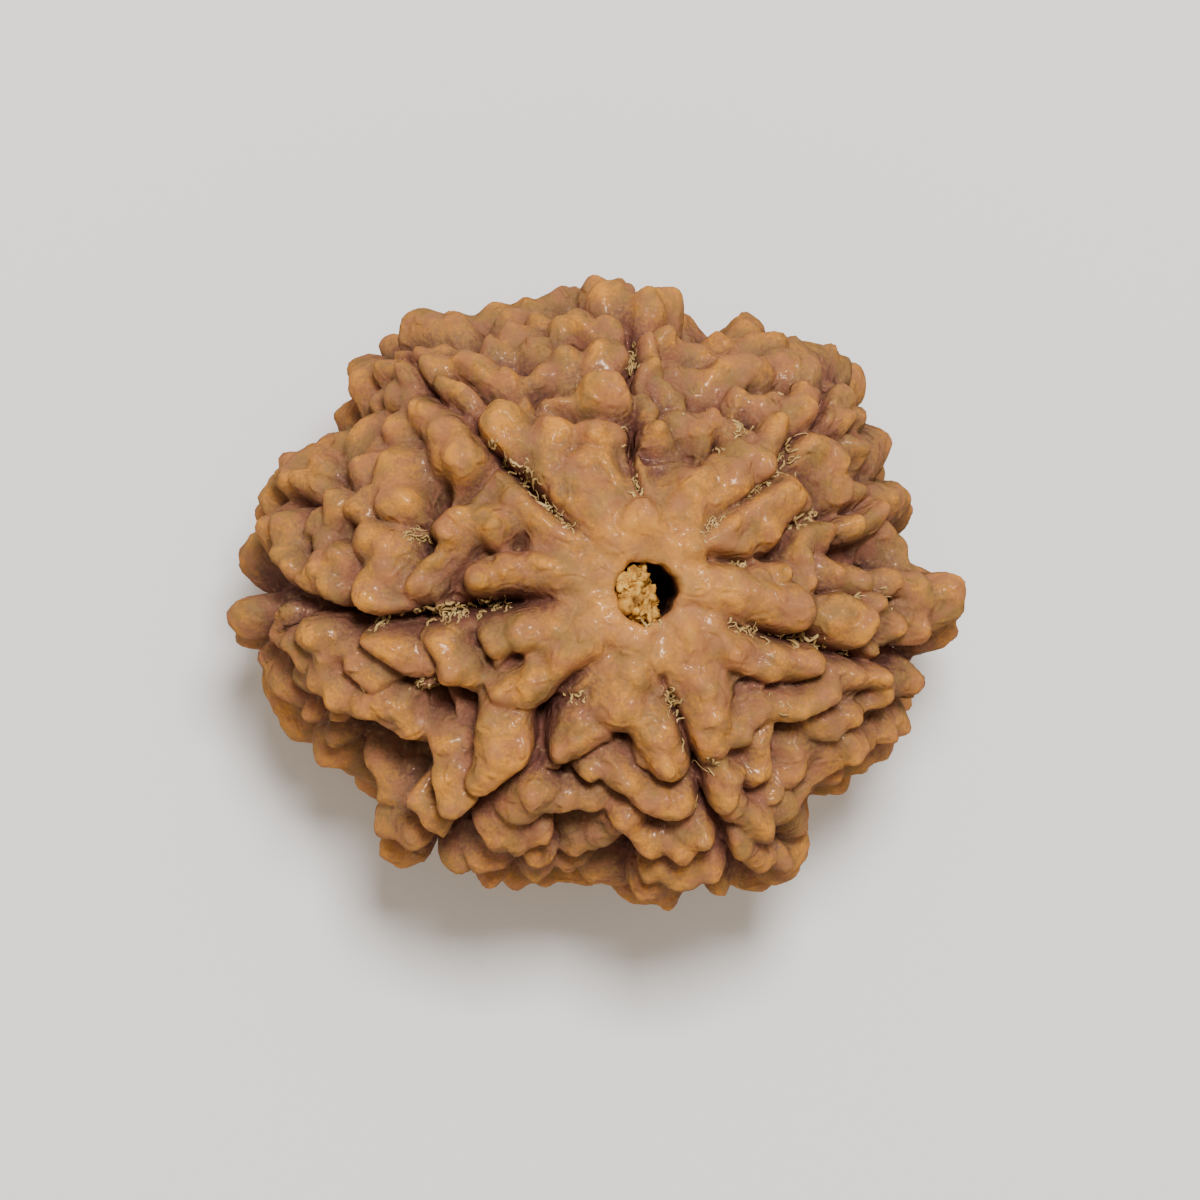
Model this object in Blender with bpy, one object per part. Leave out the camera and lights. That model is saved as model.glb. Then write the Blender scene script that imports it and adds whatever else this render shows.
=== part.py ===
"""A rudraksha nut of seven faces, dried and drilled as a bead.

Metres, +Z up along the canal, at rest on the flattened lower pole. The origin is under
the middle of the nut. The nut is a rounded body whose surface is worked by a formula:
round ridges and knobs stand on a sunken ground, seven furrows run from pole to pole, and
a smooth collar surrounds each mouth of the canal. The upper side's ridges are listed by
hand and the underside's are drawn by a rule with a fixed seed.
"""

import math

import bmesh
import bpy
import numpy as np
from mathutils import Matrix, Vector

MM = 0.001
SEED = 7

# The nut, in mm: half the height of its rounded body, and how squarish the body's sides are.
HALF_Z = 8.9
SIDE_POWER = 2.2
# Its outline from above: azimuths in degrees and reach in mm, a swell on each face.
OUTLINE = (
    (0, 12.1), (12, 10.95), (25, 10.8), (40, 11.95), (58, 10.95), (70, 9.9), (86, 10.9),
    (108, 10.4), (130, 11.75), (147, 10.6), (162, 11.8), (182, 12.3), (200, 11.25),
    (217, 10.1), (231, 11.15), (247, 10.4), (265, 9.5), (283, 10.55), (300, 11.3),
    (318, 10.05), (333, 11.0), (347, 11.4), (360, 12.1),
)
MIDDLE_Z = 8.3
FLAT_Z = 0.0
SLOPE_STEP = 0.01

# The canal, in mm.
CANAL = (0.6, 0.1)
CANAL_RADIUS = 1.03
CANAL_SIDES = 28
COLLAR_RADIUS = 2.1
COLLAR_DROP = 0.36
COLLAR_FALL = 0.1

# The relief, in mm.
GROUND_DROP = 1.4
GROUND_LEAN = 0.3
CLEFT_DROP = 0.75
CLEFT_WIDTH = 0.22
PIT_DROP = 0.75
GROOVE_FROM = 1.8
GROOVE_OVER = 3.0
# How a ridge falls away to its sides, dips between its points, and leans out from the canal.
RIDGE_FALL = 0.85
FALL_SQUARE = 0.4
FALL_FOURTH = 0.6
LOWEST = -9.0
RIDGE_REACH = 1.8
WIDER = 1.14
SADDLE = 0.3
SADDLE_FROM = 0.8
LEDGE = 0.36
TILT = 0.2
TOPS = (-0.25, 0.1)
SMALL_LOWER = 0.35
# How sharply forms part from each other, by the canal and farther out, and where that changes.
BLEND_NEAR = 8.0
BLEND_FAR = 13.0
CALM_FROM = 3.0
CALM_OVER = 2.5
WAVES = 9
WAVE_LENGTHS = (1.6, 4.0)
WAVE_SWAY = 0.05

# The nut's mesh.
SPHERE_SUBDIVISIONS = 7
KEPT_SHARE = 0.135

# The sight line in which the upper side's lists are read, in mm and degrees.
EYE_DISTANCE = 200.0
EYE_LEAN_LEFT = 6.0
EYE_LEAN_FRONT = 1.0
CANAL_IN_VIEW = (1.5, 0.2)
SIGHT_STEPS = 640
SIGHT_NEAR = 14.0
SIGHT_FAR = 2.0
HALVINGS = 24
FARTHEST = 20.0

# The dry pith left in the canal's upper mouth, in mm.
PITH_HALF = (0.6, 0.74, 1.7)
PITH_MIDDLE = (-0.2, 0.02)
PITH_TOP_Z = 16.1
PITH_LUMPS = 0.16
PITH_WAVE = 3.5
PITH_SUBDIVISIONS = 3

NUT_COLOUR = (0.42, 0.19, 0.06, 1.0)
NUT_ROUGHNESS = 0.5
PITH_COLOUR = (0.68, 0.31, 0.06, 1.0)
PITH_ROUGHNESS = 0.9

# Furrows: each one's half width, then its course from the collar to the rim as x and y from
# the canal's mouth and the drop there, all in mm.
FURROWS = (
    (0.22, (-2.3, 2.2, 0.8), (-3.8, 3.7, 1.1), (-5.0, 4.5, 0.9),
     (-6.1, 5.9, 0.55), (-7.6, 7.2, 0.5), (-8.05, 8.1, 0.5)),
    (0.16, (0.0, 3.3, 0.9), (-0.3, 4.5, 1.1), (-0.35, 5.5, 0.9),
     (-0.4, 7.5, 0.45), (-0.35, 8.5, 0.4), (-0.45, 9.95, 0.4)),
    (0.18, (1.9, 2.0, 0.5), (3.2, 3.2, 0.75), (4.6, 4.0, 0.6),
     (4.85, 4.9, 0.5), (5.5, 5.6, 0.5), (6.4, 7.3, 0.5)),
    (0.24, (3.0, -1.0, 0.6), (4.9, -1.4, 0.9), (5.9, -1.4, 1.1),
     (6.5, -1.9, 1.1), (7.9, -2.4, 1.1), (9.5, -1.9, 1.1)),
    (0.19, (0.8, -3.0, 0.6), (1.2, -4.5, 0.8), (1.9, -6.4, 0.75),
     (2.0, -7.1, 0.8), (2.7, -8.6, 0.8), (3.0, -10.2, 0.55)),
    (0.26, (-1.7, -2.3, 0.6), (-3.5, -4.5, 1.2), (-3.9, -6.0, 1.1),
     (-4.6, -6.4, 1.1), (-6.2, -8.3, 1.0), (-6.8, -9.0, 1.0)),
    (0.34, (-2.5, 0.0, 0.9), (-5.0, -0.5, 1.6), (-7.2, -0.9, 1.4),
     (-10.0, -1.1, 1.9), (-11.6, -0.4, 1.3), (-12.6, 0.7, 0.4)),
)
# Shorter clefts inside a face.
CLEFTS = (
    ((2.3, 1.2), (3.5, 1.2), (4.5, 1.6), (5.6, 2.7), (6.5, 2.8), (7.7, 3.2), (8.6, 4.1)),
    ((-3.0, 6.4), (-2.2, 6.1), (-0.6, 6.1)),
    ((-0.9, -5.2), (-0.6, -5.9), (0.4, -6.4), (1.0, -6.4)),
    ((-3.5, -6.3), (-1.5, -6.8)),
    ((-4.1, -2.5), (-5.0, -2.9), (-5.9, -1.7)),
    ((3.7, -3.6), (5.2, -3.5), (6.2, -2.7)),
    ((5.5, -4.5), (6.5, -4.2), (7.8, -3.6)),
    ((7.0, 1.6), (8.6, 1.5)),
    ((-11.8, 1.9), (-11.8, 1.1)),
    ((-7.3, 3.3), (-7.3, 4.0)),
    ((-6.5, 3.3), (-5.7, 4.0), (-5.1, 4.8)),
    ((-6.3, 7.6), (-5.4, 7.2), (-4.7, 6.7)),
)
# Pits between knobs: x, y and half width in mm.
PITS = (
    (-3.3, 7.2, 0.3), (-4.1, 7.9, 0.3), (-2.5, 8.9, 0.3), (1.5, 4.6, 0.25), (1.8, 6.5, 0.25),
    (3.8, 7.2, 0.25), (3.6, 6.1, 0.25), (4.5, 7.5, 0.25), (2.6, 5.5, 0.25), (6.4, 0.5, 0.3),
    (7.5, 5.4, 0.35), (7.4, 4.2, 0.3), (8.9, -0.1, 0.3), (3.3, -5.6, 0.35), (4.3, -6.8, 0.35),
    (4.9, -5.0, 0.4), (4.8, -5.8, 0.35), (-2.0, -8.2, 0.55), (-0.5, -9.2, 0.4), (-3.0, -9.0, 0.4),
    (0.3, -8.2, 0.35), (-9.6, -5.2, 0.75), (-8.1, -5.8, 0.6), (-11.3, -3.7, 0.35), (-6.5, -3.5, 0.5),
    (-7.4, -4.2, 0.5), (-7.2, -6.9, 0.4), (-8.0, -7.6, 0.4), (-8.3, -3.3, 0.45), (-10.1, 2.2, 0.3),
    (-4.5, 1.9, 0.35), (-7.5, 1.7, 0.35), (-3.3, -4.5, 0.6), (-7.1, 3.7, 0.45), (-10.0, -0.9, 0.5),
    (-6.3, -8.6, 0.5), (-2.9, 6.9, 0.3),
)
# Ridges and knobs of the upper side, face by face: x, y and radius in mm at each point, and
# a rise in mm where one stands out.
UPPER_LEFT_FACE = (
    ((-0.7, 1.7, 0.95), (-1.5, 3.0, 1.15), (-2.1, 4.3, 1.2)),
    ((-2.0, 3.2, 0.8), (-3.2, 4.6, 0.9), (-3.4, 5.3, 0.85)),
    ((-1.6, 5.5, 0.8),),
    ((-3.0, 5.6, 0.8),),
    ((-1.4, 7.0, 1.0, 0.1),),
    ((-1.5, 8.4, 0.9),),
    ((-1.4, 9.4, 0.8),),
    ((-1.15, 10.2, 0.75, 0.35),),
    ((-2.8, 6.6, 0.55), (-2.7, 8.2, 0.55)),
    ((-3.8, 8.7, 0.5), (-3.4, 7.8, 0.5)),
    ((-3.0, 9.3, 0.7),),
    ((-2.3, 9.4, 0.6),),
    ((-4.4, 9.0, 0.6),),
    ((-3.6, 9.4, 0.5),),
    ((-5.0, 8.7, 0.55),),
    ((-7.2, 7.9, 0.75), (-6.0, 8.0, 0.75), (-5.4, 7.8, 0.75), (-4.6, 7.5, 0.7)),
    ((-6.8, 7.2, 0.75), (-6.1, 7.0, 0.8)),
    ((-7.6, 8.4, 0.6), (-6.8, 8.7, 0.6), (-6.0, 8.4, 0.55)),
    ((-4.95, 5.85, 0.9, 0.3),),
    ((-3.9, 6.3, 0.4), (-3.7, 5.3, 0.4)),
)
UPPER_FACE = (
    ((-0.1, 2.7, 0.65, 0.35),),
    ((0.9, 1.7, 0.9), (1.4, 3.0, 1.1), (1.8, 4.0, 1.1)),
    ((1.6, 3.2, 0.9), (2.9, 4.2, 1.0)),
    ((0.6, 5.6, 0.65),),
    ((0.3, 6.6, 0.5), (0.4, 7.8, 0.5), (0.4, 8.7, 0.5)),
    ((0.4, 7.9, 0.35), (0.8, 7.2, 0.35), (1.2, 6.8, 0.35)),
    ((1.3, 7.8, 0.45), (1.3, 6.6, 0.45)),
    ((0.1, 9.9, 0.7, 0.3), (0.75, 9.8, 0.75, 0.3)),
    ((0.9, 8.8, 0.5), (1.8, 8.3, 0.5), (2.6, 8.3, 0.5)),
    ((2.0, 7.5, 0.7),),
    ((2.5, 7.8, 0.65), (3.3, 7.9, 0.65), (4.0, 8.1, 0.6)),
    ((2.6, 8.6, 0.5), (3.4, 8.7, 0.5), (4.4, 8.6, 0.5)),
    ((3.3, 6.9, 0.6), (4.1, 6.6, 0.6)),
    ((2.0, 5.7, 0.5),),
    ((1.4, 6.1, 0.35), (2.2, 6.1, 0.35)),
    ((2.1, 5.9, 0.35), (3.0, 5.9, 0.35), (3.6, 5.5, 0.35), (3.2, 5.2, 0.35)),
    ((3.4, 4.9, 0.75), (4.1, 4.6, 0.75)),
    ((4.2, 5.2, 0.5), (4.6, 5.9, 0.5)),
    ((5.2, 6.4, 0.75),),
    ((4.6, 6.9, 0.5), (5.4, 7.2, 0.5), (5.9, 7.1, 0.45)),
    ((4.9, 8.0, 0.6), (5.6, 7.8, 0.55)),
    ((4.3, 8.3, 0.4), (4.9, 7.9, 0.4)),
)
RIGHT_FACE = (
    ((1.6, 1.3, 0.7), (2.9, 2.2, 0.85), (4.2, 2.9, 1.05), (4.9, 3.3, 1.1)),
    ((1.4, 0.2, 0.7), (3.0, 0.2, 0.9), (4.4, -0.2, 1.1), (5.2, -0.4, 1.05)),
    ((5.2, 3.8, 0.4), (5.6, 3.3, 0.4)),
    ((6.0, 5.0, 0.9), (6.6, 4.4, 0.95)),
    ((6.9, 3.6, 0.8),),
    ((6.4, 6.4, 0.6), (7.2, 6.0, 0.65), (7.7, 5.9, 0.6)),
    ((6.6, 7.0, 0.5), (7.1, 6.7, 0.5)),
    ((7.5, 4.9, 0.6), (8.4, 4.9, 0.65)),
    ((7.4, 3.7, 0.45),),
    ((7.2, 2.7, 0.7), (8.0, 3.1, 0.7), (8.5, 3.4, 0.65)),
    ((5.6, 2.1, 0.7), (6.4, 2.3, 0.7)),
    ((5.2, 2.0, 0.5), (5.4, 1.2, 0.5), (5.6, 0.6, 0.5)),
    ((6.6, 0.9, 0.55), (7.6, 0.7, 0.55)),
    ((8.6, 2.3, 0.4), (8.95, 1.7, 0.45), (9.2, 1.2, 0.45)),
    ((8.6, 0.7, 0.8), (9.4, 0.3, 0.85, 0.1), (9.6, -0.5, 0.85), (9.4, -1.2, 0.8)),
    ((10.2, 0.3, 0.9), (10.3, -0.6, 0.9)),
    ((6.8, -0.8, 0.95, 0.1), (7.4, -1.1, 0.95, 0.2)),
    ((8.1, -0.4, 0.6), (8.7, -1.3, 0.6)),
    ((5.6, 0.4, 0.3), (6.0, -0.6, 0.3)),
    ((4.0, 1.0, 0.4), (4.6, 0.9, 0.4)),
)
LOWER_RIGHT_FACE = (
    ((1.5, -1.2, 0.75), (3.0, -2.0, 0.8), (4.6, -2.3, 0.9), (5.7, -2.2, 0.85)),
    ((3.9, -4.1, 0.55), (5.2, -4.1, 0.65), (6.3, -3.3, 0.7), (8.0, -2.7, 0.8)),
    ((6.3, -4.9, 0.6), (7.2, -4.2, 0.65), (8.2, -3.5, 0.7), (9.3, -3.1, 0.75)),
    ((9.5, -2.6, 0.5), (9.8, -3.4, 0.5)),
    ((5.2, -6.0, 0.7), (6.2, -5.9, 0.75), (6.9, -5.6, 0.75)),
    ((7.4, -5.4, 0.5), (8.4, -4.8, 0.5)),
    ((6.4, -6.4, 0.6), (5.6, -6.7, 0.6)),
    ((1.4, -1.9, 0.85), (2.1, -3.2, 1.0), (2.4, -4.4, 1.15), (2.3, -5.1, 1.1)),
    ((3.2, -4.6, 0.7),),
    ((4.2, -5.0, 0.6), (4.2, -6.0, 0.65), (4.6, -6.7, 0.65)),
    ((3.0, -6.2, 0.75), (2.8, -7.0, 0.75)),
    ((3.4, -7.6, 0.85), (4.2, -8.0, 0.9, 0.1), (5.0, -7.2, 0.85)),
    ((5.3, -7.2, 0.6), (5.5, -7.9, 0.6)),
    ((3.4, -8.9, 0.7), (4.2, -9.3, 0.7)),
    ((4.9, -9.2, 0.45),),
)
LOWER_FACE = (
    ((-0.3, -1.5, 0.85), (-0.6, -2.8, 1.0), (-0.9, -4.0, 1.05)),
    ((-0.1, -4.4, 0.75), (0.4, -5.1, 0.8), (0.8, -5.8, 0.8)),
    ((-0.6, -6.4, 0.8), (0.3, -7.0, 0.95), (1.0, -7.3, 0.95)),
    ((-0.6, -7.9, 0.5), (0.2, -8.8, 0.6), (1.2, -8.9, 0.65), (1.9, -8.4, 0.65)),
    ((0.2, -9.8, 0.7), (1.2, -9.8, 0.75), (2.0, -9.6, 0.7)),
    ((0.7, -10.6, 0.5, -0.1),),
    ((2.5, -10.3, 0.5),),
    ((-2.9, -5.2, 0.9, 0.15), (-2.2, -5.0, 0.85)),
    ((-1.8, -6.3, 0.4), (-1.2, -5.8, 0.4)),
    ((-4.0, -6.8, 0.9, 0.2), (-4.3, -7.6, 1.05), (-4.8, -8.6, 1.15), (-5.4, -9.3, 0.95)),
    ((-3.6, -7.2, 0.65), (-2.6, -7.4, 0.65), (-1.6, -7.4, 0.6)),
    ((-4.4, -8.9, 0.3), (-3.3, -8.5, 0.3)),
    ((-3.5, -9.2, 0.5), (-3.6, -9.7, 0.5)),
    ((-2.3, -9.0, 0.5), (-1.6, -8.6, 0.5), (-1.0, -8.3, 0.5)),
    ((-2.4, -9.5, 0.4),),
    ((-6.2, -9.4, 0.7), (-5.4, -9.8, 0.65)),
)
LOWER_LEFT_FACE = (
    ((-1.4, -1.0, 0.85), (-2.5, -1.9, 1.0), (-3.5, -3.0, 1.1)),
    ((-2.2, -1.4, 0.75), (-4.0, -1.6, 0.8)),
    ((-5.0, -1.9, 0.75),),
    ((-4.7, -3.2, 0.7), (-3.9, -3.4, 0.7)),
    ((-7.1, -1.3, 0.7), (-6.7, -2.0, 0.7), (-6.4, -2.6, 0.75, 0.3)),
    ((-9.3, -1.6, 0.65), (-8.6, -1.9, 0.7), (-8.1, -2.2, 0.65)),
    ((-9.8, -2.6, 0.5), (-9.2, -3.1, 0.5)),
    ((-11.4, -1.6, 0.75, 0.2),),
    ((-12.8, -0.8, 0.7, -0.3), (-12.9, -1.8, 0.65, -0.3)),
    ((-12.3, -2.0, 0.5), (-11.8, -2.5, 0.5), (-11.0, -2.5, 0.5), (-10.2, -2.3, 0.5)),
    ((-11.0, -3.0, 0.7), (-10.3, -3.7, 0.75), (-9.4, -4.1, 0.7), (-7.9, -4.9, 0.55)),
    ((-8.7, -3.9, 0.5), (-8.1, -4.5, 0.5)),
    ((-7.8, -3.3, 0.35, -0.35),),
    ((-6.9, -4.1, 0.35, -0.35),),
    ((-5.3, -4.3, 0.7), (-5.0, -5.2, 1.1, 0.25), (-5.3, -6.2, 0.8, 0.25)),
    ((-6.9, -5.3, 0.55), (-6.7, -6.3, 0.7, 0.1), (-6.4, -7.1, 0.75, 0.3)),
    ((-8.0, -6.3, 0.45), (-7.9, -7.0, 0.5), (-7.3, -7.8, 0.5), (-6.8, -8.2, 0.45)),
    ((-9.2, -6.2, 0.5), (-9.0, -6.8, 0.55)),
    ((-8.9, -7.8, 0.75), (-8.3, -8.4, 0.7)),
    ((-12.0, -3.0, 0.5), (-11.4, -3.2, 0.5)),
    ((-12.3, -3.6, 0.5),),
    ((-11.6, -4.3, 0.6),),
    ((-10.7, -4.4, 0.5),),
    ((-10.6, -5.3, 0.5),),
)
LEFT_FACE = (
    ((-1.4, 0.7, 0.7), (-3.0, 0.9, 0.8), (-4.6, 0.8, 0.8)),
    ((-5.5, 0.4, 0.65),),
    ((-7.7, 0.5, 0.6), (-7.3, 1.1, 0.6), (-6.8, 1.7, 0.6)),
    ((-6.7, 2.3, 0.75), (-6.3, 2.8, 0.8)),
    ((-2.4, 1.9, 0.7), (-3.6, 2.4, 0.75), (-4.6, 3.2, 0.8), (-5.4, 3.9, 0.75)),
    ((-5.5, 2.6, 0.6), (-5.0, 2.2, 0.6)),
    ((-7.5, 6.1, 0.75), (-6.9, 5.4, 0.95, 0.25), (-6.4, 4.7, 1.1, 0.5)),
    ((-8.7, 6.8, 0.75), (-7.9, 6.4, 0.75)),
    ((-9.1, 7.6, 0.55), (-8.2, 7.6, 0.6)),
    ((-8.8, 8.0, 0.4), (-8.2, 8.1, 0.4)),
    ((-9.4, 6.6, 0.35),),
    ((-9.6, 5.4, 0.8), (-9.5, 4.6, 0.85)),
    ((-8.6, 5.6, 0.6),),
    ((-8.6, 4.4, 0.95, 0.25), (-8.5, 3.4, 0.9, 0.2)),
    ((-9.5, 3.6, 0.55), (-9.8, 3.0, 0.6)),
    ((-10.6, 3.4, 0.6), (-10.7, 2.7, 0.65)),
    ((-11.6, 4.1, 0.55), (-11.3, 3.9, 0.5)),
    ((-10.9, 4.6, 0.5), (-10.3, 5.3, 0.5)),
    ((-12.4, 2.4, 0.6), (-12.5, 1.5, 0.6), (-12.2, 0.9, 0.55)),
    ((-11.6, 2.6, 0.6), (-11.2, 1.9, 0.6)),
    ((-11.8, 0.5, 0.7), (-11.2, 0.9, 0.75)),
    ((-10.5, 1.3, 0.6), (-10.7, 0.3, 0.6)),
    ((-9.0, 0.9, 0.9, 0.1), (-9.3, 0.0, 0.9, 0.25)),
    ((-9.4, 1.9, 0.7), (-8.6, 1.8, 0.7)),
)
FACES = (
    UPPER_LEFT_FACE,
    UPPER_FACE,
    RIGHT_FACE,
    LOWER_RIGHT_FACE,
    LOWER_FACE,
    LOWER_LEFT_FACE,
    LEFT_FACE,
)

# The underside's rule: sizes in mm, and angles in degrees down from the canal's upper end.
DRAWS = 5200
HIGHEST_DRAW = 0.55
KNOB_RADII = (0.6, 1.15)
RADIUS_SPREAD = (0.85, 1.15)
RIDGE_LENGTHS = (0.3, 2.4)
APART = 0.92
FURROW_CLEARANCE = 0.28
FURROW_SPREAD = 0.6
FURROW_SWAY = 5.0
FURROW_STEPS = 9
FURROW_END = 17.19
HIDDEN_FACING = 0.45
PETAL_INNER = 1.5
PETAL_LENGTH = 2.6
PETAL_RADII = (0.8, 1.0, 1.0)


def outline_reach(azimuth):
    """The outline's reach at each azimuth in radians, eased from one named value to the next."""
    angles = np.radians([row[0] for row in OUTLINE])
    reaches = np.array([row[1] for row in OUTLINE])
    azimuth = azimuth % (2 * math.pi)
    last = np.clip(np.searchsorted(angles, azimuth, side="right"), 1, len(angles) - 1)
    share = (azimuth - angles[last - 1]) / (angles[last] - angles[last - 1])
    ease = (1 - np.cos(math.pi * share)) / 2
    return reaches[last - 1] + ease * (reaches[last] - reaches[last - 1])


def body_size(points):
    """How far each point is out from the middle: 1 on the rounded body."""
    x, y, z = np.moveaxis(points, -1, 0)
    plan = np.hypot(x, y) / outline_reach(np.arctan2(y, x))
    return (plan**SIDE_POWER + np.abs(z / HALF_Z) ** SIDE_POWER) ** (1 / SIDE_POWER)


def body_normals(points):
    """The rounded body's outward direction at each point, from the slope of body_size."""
    slopes = []
    for step in SLOPE_STEP * np.eye(3):
        slopes.append(body_size(points + step) - body_size(points - step))
    slope = np.stack(slopes, axis=-1)
    return slope / np.linalg.norm(slope, axis=-1, keepdims=True)


def sight_axes():
    """The directions to the right, up and towards the eye, in the view the lists are read in."""
    left = math.radians(EYE_LEAN_LEFT)
    front = math.radians(EYE_LEAN_FRONT)
    toward = np.array((-math.sin(left), -math.sin(front), 0.0))
    toward[2] = math.sqrt(1 - toward @ toward)
    right = np.cross((0.0, 1.0, 0.0), toward)
    right /= np.linalg.norm(right)
    return right, np.cross(toward, right), toward


def lifted(points):
    """Carries points of the view along their sight lines to where these first meet the body."""
    right, up, toward = sight_axes()
    plan = np.array([point[:2] for point in points]) + CANAL_IN_VIEW
    eye = EYE_DISTANCE * toward
    ray = plan[:, :1] * right + plan[:, 1:] * up - eye
    ray /= np.linalg.norm(ray, axis=1, keepdims=True)
    reach = np.linspace(EYE_DISTANCE - SIGHT_NEAR, EYE_DISTANCE + SIGHT_FAR, SIGHT_STEPS)
    along = eye + ray[:, None] * reach[:, None]
    size = body_size(along)
    first = np.where((size < 1).any(axis=1), (size < 1).argmax(axis=1), size.argmin(axis=1))
    found = along[np.arange(len(along)), first]
    return found / body_size(found)[:, None]


def on_body(azimuth, polar):
    """The point of the body seen from the canal's middle, by angles round it and down from the top."""
    direction = np.stack(
        (np.sin(polar) * np.cos(azimuth), np.sin(polar) * np.sin(azimuth), np.cos(polar)), axis=-1
    )
    middle = np.array((*CANAL, 0.0))
    low, high = np.zeros(np.shape(polar)), np.full(np.shape(polar), FARTHEST)
    for _ in range(HALVINGS):
        reach = (low + high) / 2
        inside = body_size(middle + reach[..., None] * direction) < 1
        low, high = np.where(inside, reach, low), np.where(inside, high, reach)
    return middle + low[..., None] * direction


def wave_list(random):
    """Crossed sine waves: each one's heading, phase and shift."""
    waves = []
    for _ in range(WAVES):
        heading = random.normal(size=3)
        heading *= 2 * math.pi / random.uniform(*WAVE_LENGTHS) / np.linalg.norm(heading)
        waves.append((heading, random.uniform(0, 2 * math.pi), random.normal(0, WAVE_SWAY, 3)))
    return waves


def swayed(points, waves):
    """Points shifted by the waves, so that what is worked from them wanders as grown things do."""
    shift = np.zeros(points.shape)
    for heading, phase, sway in waves:
        shift += np.sin(points @ heading + phase)[:, None] * sway
    return points + shift


def furrow_paths(random):
    """Each furrow goes on past the rim to the lower collar, swaying a little as it goes."""
    paths = []
    for _, *course in FURROWS:
        upper = lifted(course)
        x, y, z = upper[-1] - (*CANAL, 0.0)
        end = math.pi - math.radians(FURROW_END)
        polar = np.linspace(math.atan2(math.hypot(x, y), z), end, FURROW_STEPS)[1:]
        sway = np.cumsum(random.normal(0, math.radians(FURROW_SWAY), len(polar)))
        azimuth = math.atan2(y, x) + sway * np.sin(polar)
        paths.append(np.concatenate((upper, on_body(azimuth, polar))))
    return paths


def run_distance(points, start, end):
    """How far along a straight run each point lies, as a share, and its offset from there."""
    run = end - start
    share = np.clip((points - start) @ run / max(run @ run, 1e-9), 0, 1)
    return share, points - start - share[:, None] * run


def path_distance(points, path):
    """The distance of each point to a path."""
    best = np.full(len(points), np.inf)
    for start, end in zip(path, path[1:]):
        best = np.minimum(best, np.linalg.norm(run_distance(points, start, end)[1], axis=1))
    return best


def listed_ridges(random):
    """The listed ridges as paths on the body, with the radius and the rise at each point."""
    listed = [ridge for face in FACES for ridge in face]
    tops = random.uniform(*TOPS, len(listed))
    ridges = []
    for ridge, top in zip(listed, tops):
        radii = np.array([point[2] for point in ridge])
        rises = np.array([sum(point[3:]) for point in ridge])
        ridges.append((lifted(ridge), radii, rises + top))
    return ridges


def petal_ridges(paths):
    """One ridge in the middle of each face, running out from the lower collar."""
    ends = sorted(math.atan2(*(path[-1] - (*CANAL, 0.0))[1::-1]) for path in paths)
    reach = PETAL_INNER + PETAL_LENGTH * np.array((0.0, 0.5, 1.0))
    petals = []
    for this, following in zip(ends, ends[1:] + [ends[0] + 2 * math.pi]):
        azimuth = np.full(len(reach), (this + following) / 2)
        path = on_body(azimuth, math.pi - np.arctan(reach / HALF_Z))
        petals.append((path, np.array(PETAL_RADII), np.zeros(len(reach))))
    return petals


def drawn_ridges(random, taken, paths):
    """Short ridges and knobs over the underside wherever they have room.

    Every draw is made first, so that one place taken or left changes nothing elsewhere.
    """
    kinds = (
        (0, 2 * math.pi),
        (-1, HIGHEST_DRAW),
        KNOB_RADII,
        RIDGE_LENGTHS,
        (0, math.pi),
        TOPS,
    )
    lows, highs = zip(*kinds)
    azimuth, height, radii, lengths, turns, tops = random.uniform(lows, highs, (DRAWS, len(kinds))).T
    spreads = random.uniform(*RADIUS_SPREAD, (DRAWS, 2 + int(max(lengths))))
    starts = on_body(azimuth, np.arccos(height))
    normals = body_normals(starts)
    sides = np.cross(normals, (0.0, 0.0, 1.0))
    sides /= np.linalg.norm(sides, axis=1, keepdims=True) + 1e-9
    headings = np.cos(turns)[:, None] * sides + np.sin(turns)[:, None] * np.cross(normals, sides)
    toward = sight_axes()[2]
    ridges = list(taken)
    centres = np.concatenate([path for path, _, _ in ridges])
    sizes = np.concatenate([size for _, size, _ in ridges])
    for i in np.flatnonzero(normals @ toward < HIDDEN_FACING):
        path = starts[i] + np.linspace(0, lengths[i], 2 + int(lengths[i]))[:, None] * headings[i]
        path = path / body_size(path)[:, None]
        across = np.hypot(path[:, 0] - CANAL[0], path[:, 1] - CANAL[1])
        away = np.linalg.norm(path[:, None] - centres, axis=2)
        clear = FURROW_CLEARANCE + FURROW_SPREAD * radii[i]
        if (
            (across < PETAL_INNER + radii[i]).any()
            or (away < APART * (sizes + radii[i])).any()
            or (body_normals(path) @ toward > HIDDEN_FACING).any()
            or any((path_distance(path, furrow) < clear).any() for furrow in paths)
        ):
            continue
        size = radii[i] * spreads[i, : len(path)]
        ridges.append((path, size, np.full(len(path), tops[i])))
        centres, sizes = np.concatenate((centres, path)), np.concatenate((sizes, size))
    return ridges


def small_lowered(ridges):
    """The same ridges, with small ones set lower."""
    lowered = []
    for path, radii, rises in ridges:
        lowered.append((path, radii, rises - SMALL_LOWER * max(0.0, 1 - radii.max())))
    return lowered


def outward_of(path):
    """The way out from the canal, laid along the body: full near the mouths and nothing at the rim."""
    normals = body_normals(path)
    away = path - (*CANAL, 0.0)
    away[:, 2] = 0.0
    away /= np.linalg.norm(away, axis=1, keepdims=True)
    return away - (away * normals).sum(axis=1, keepdims=True) * normals


def within(points, centre, reach):
    """The numbers of the points closer to the centre than the reach."""
    return np.flatnonzero(((points - centre) ** 2).sum(axis=1) < reach**2)


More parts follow.
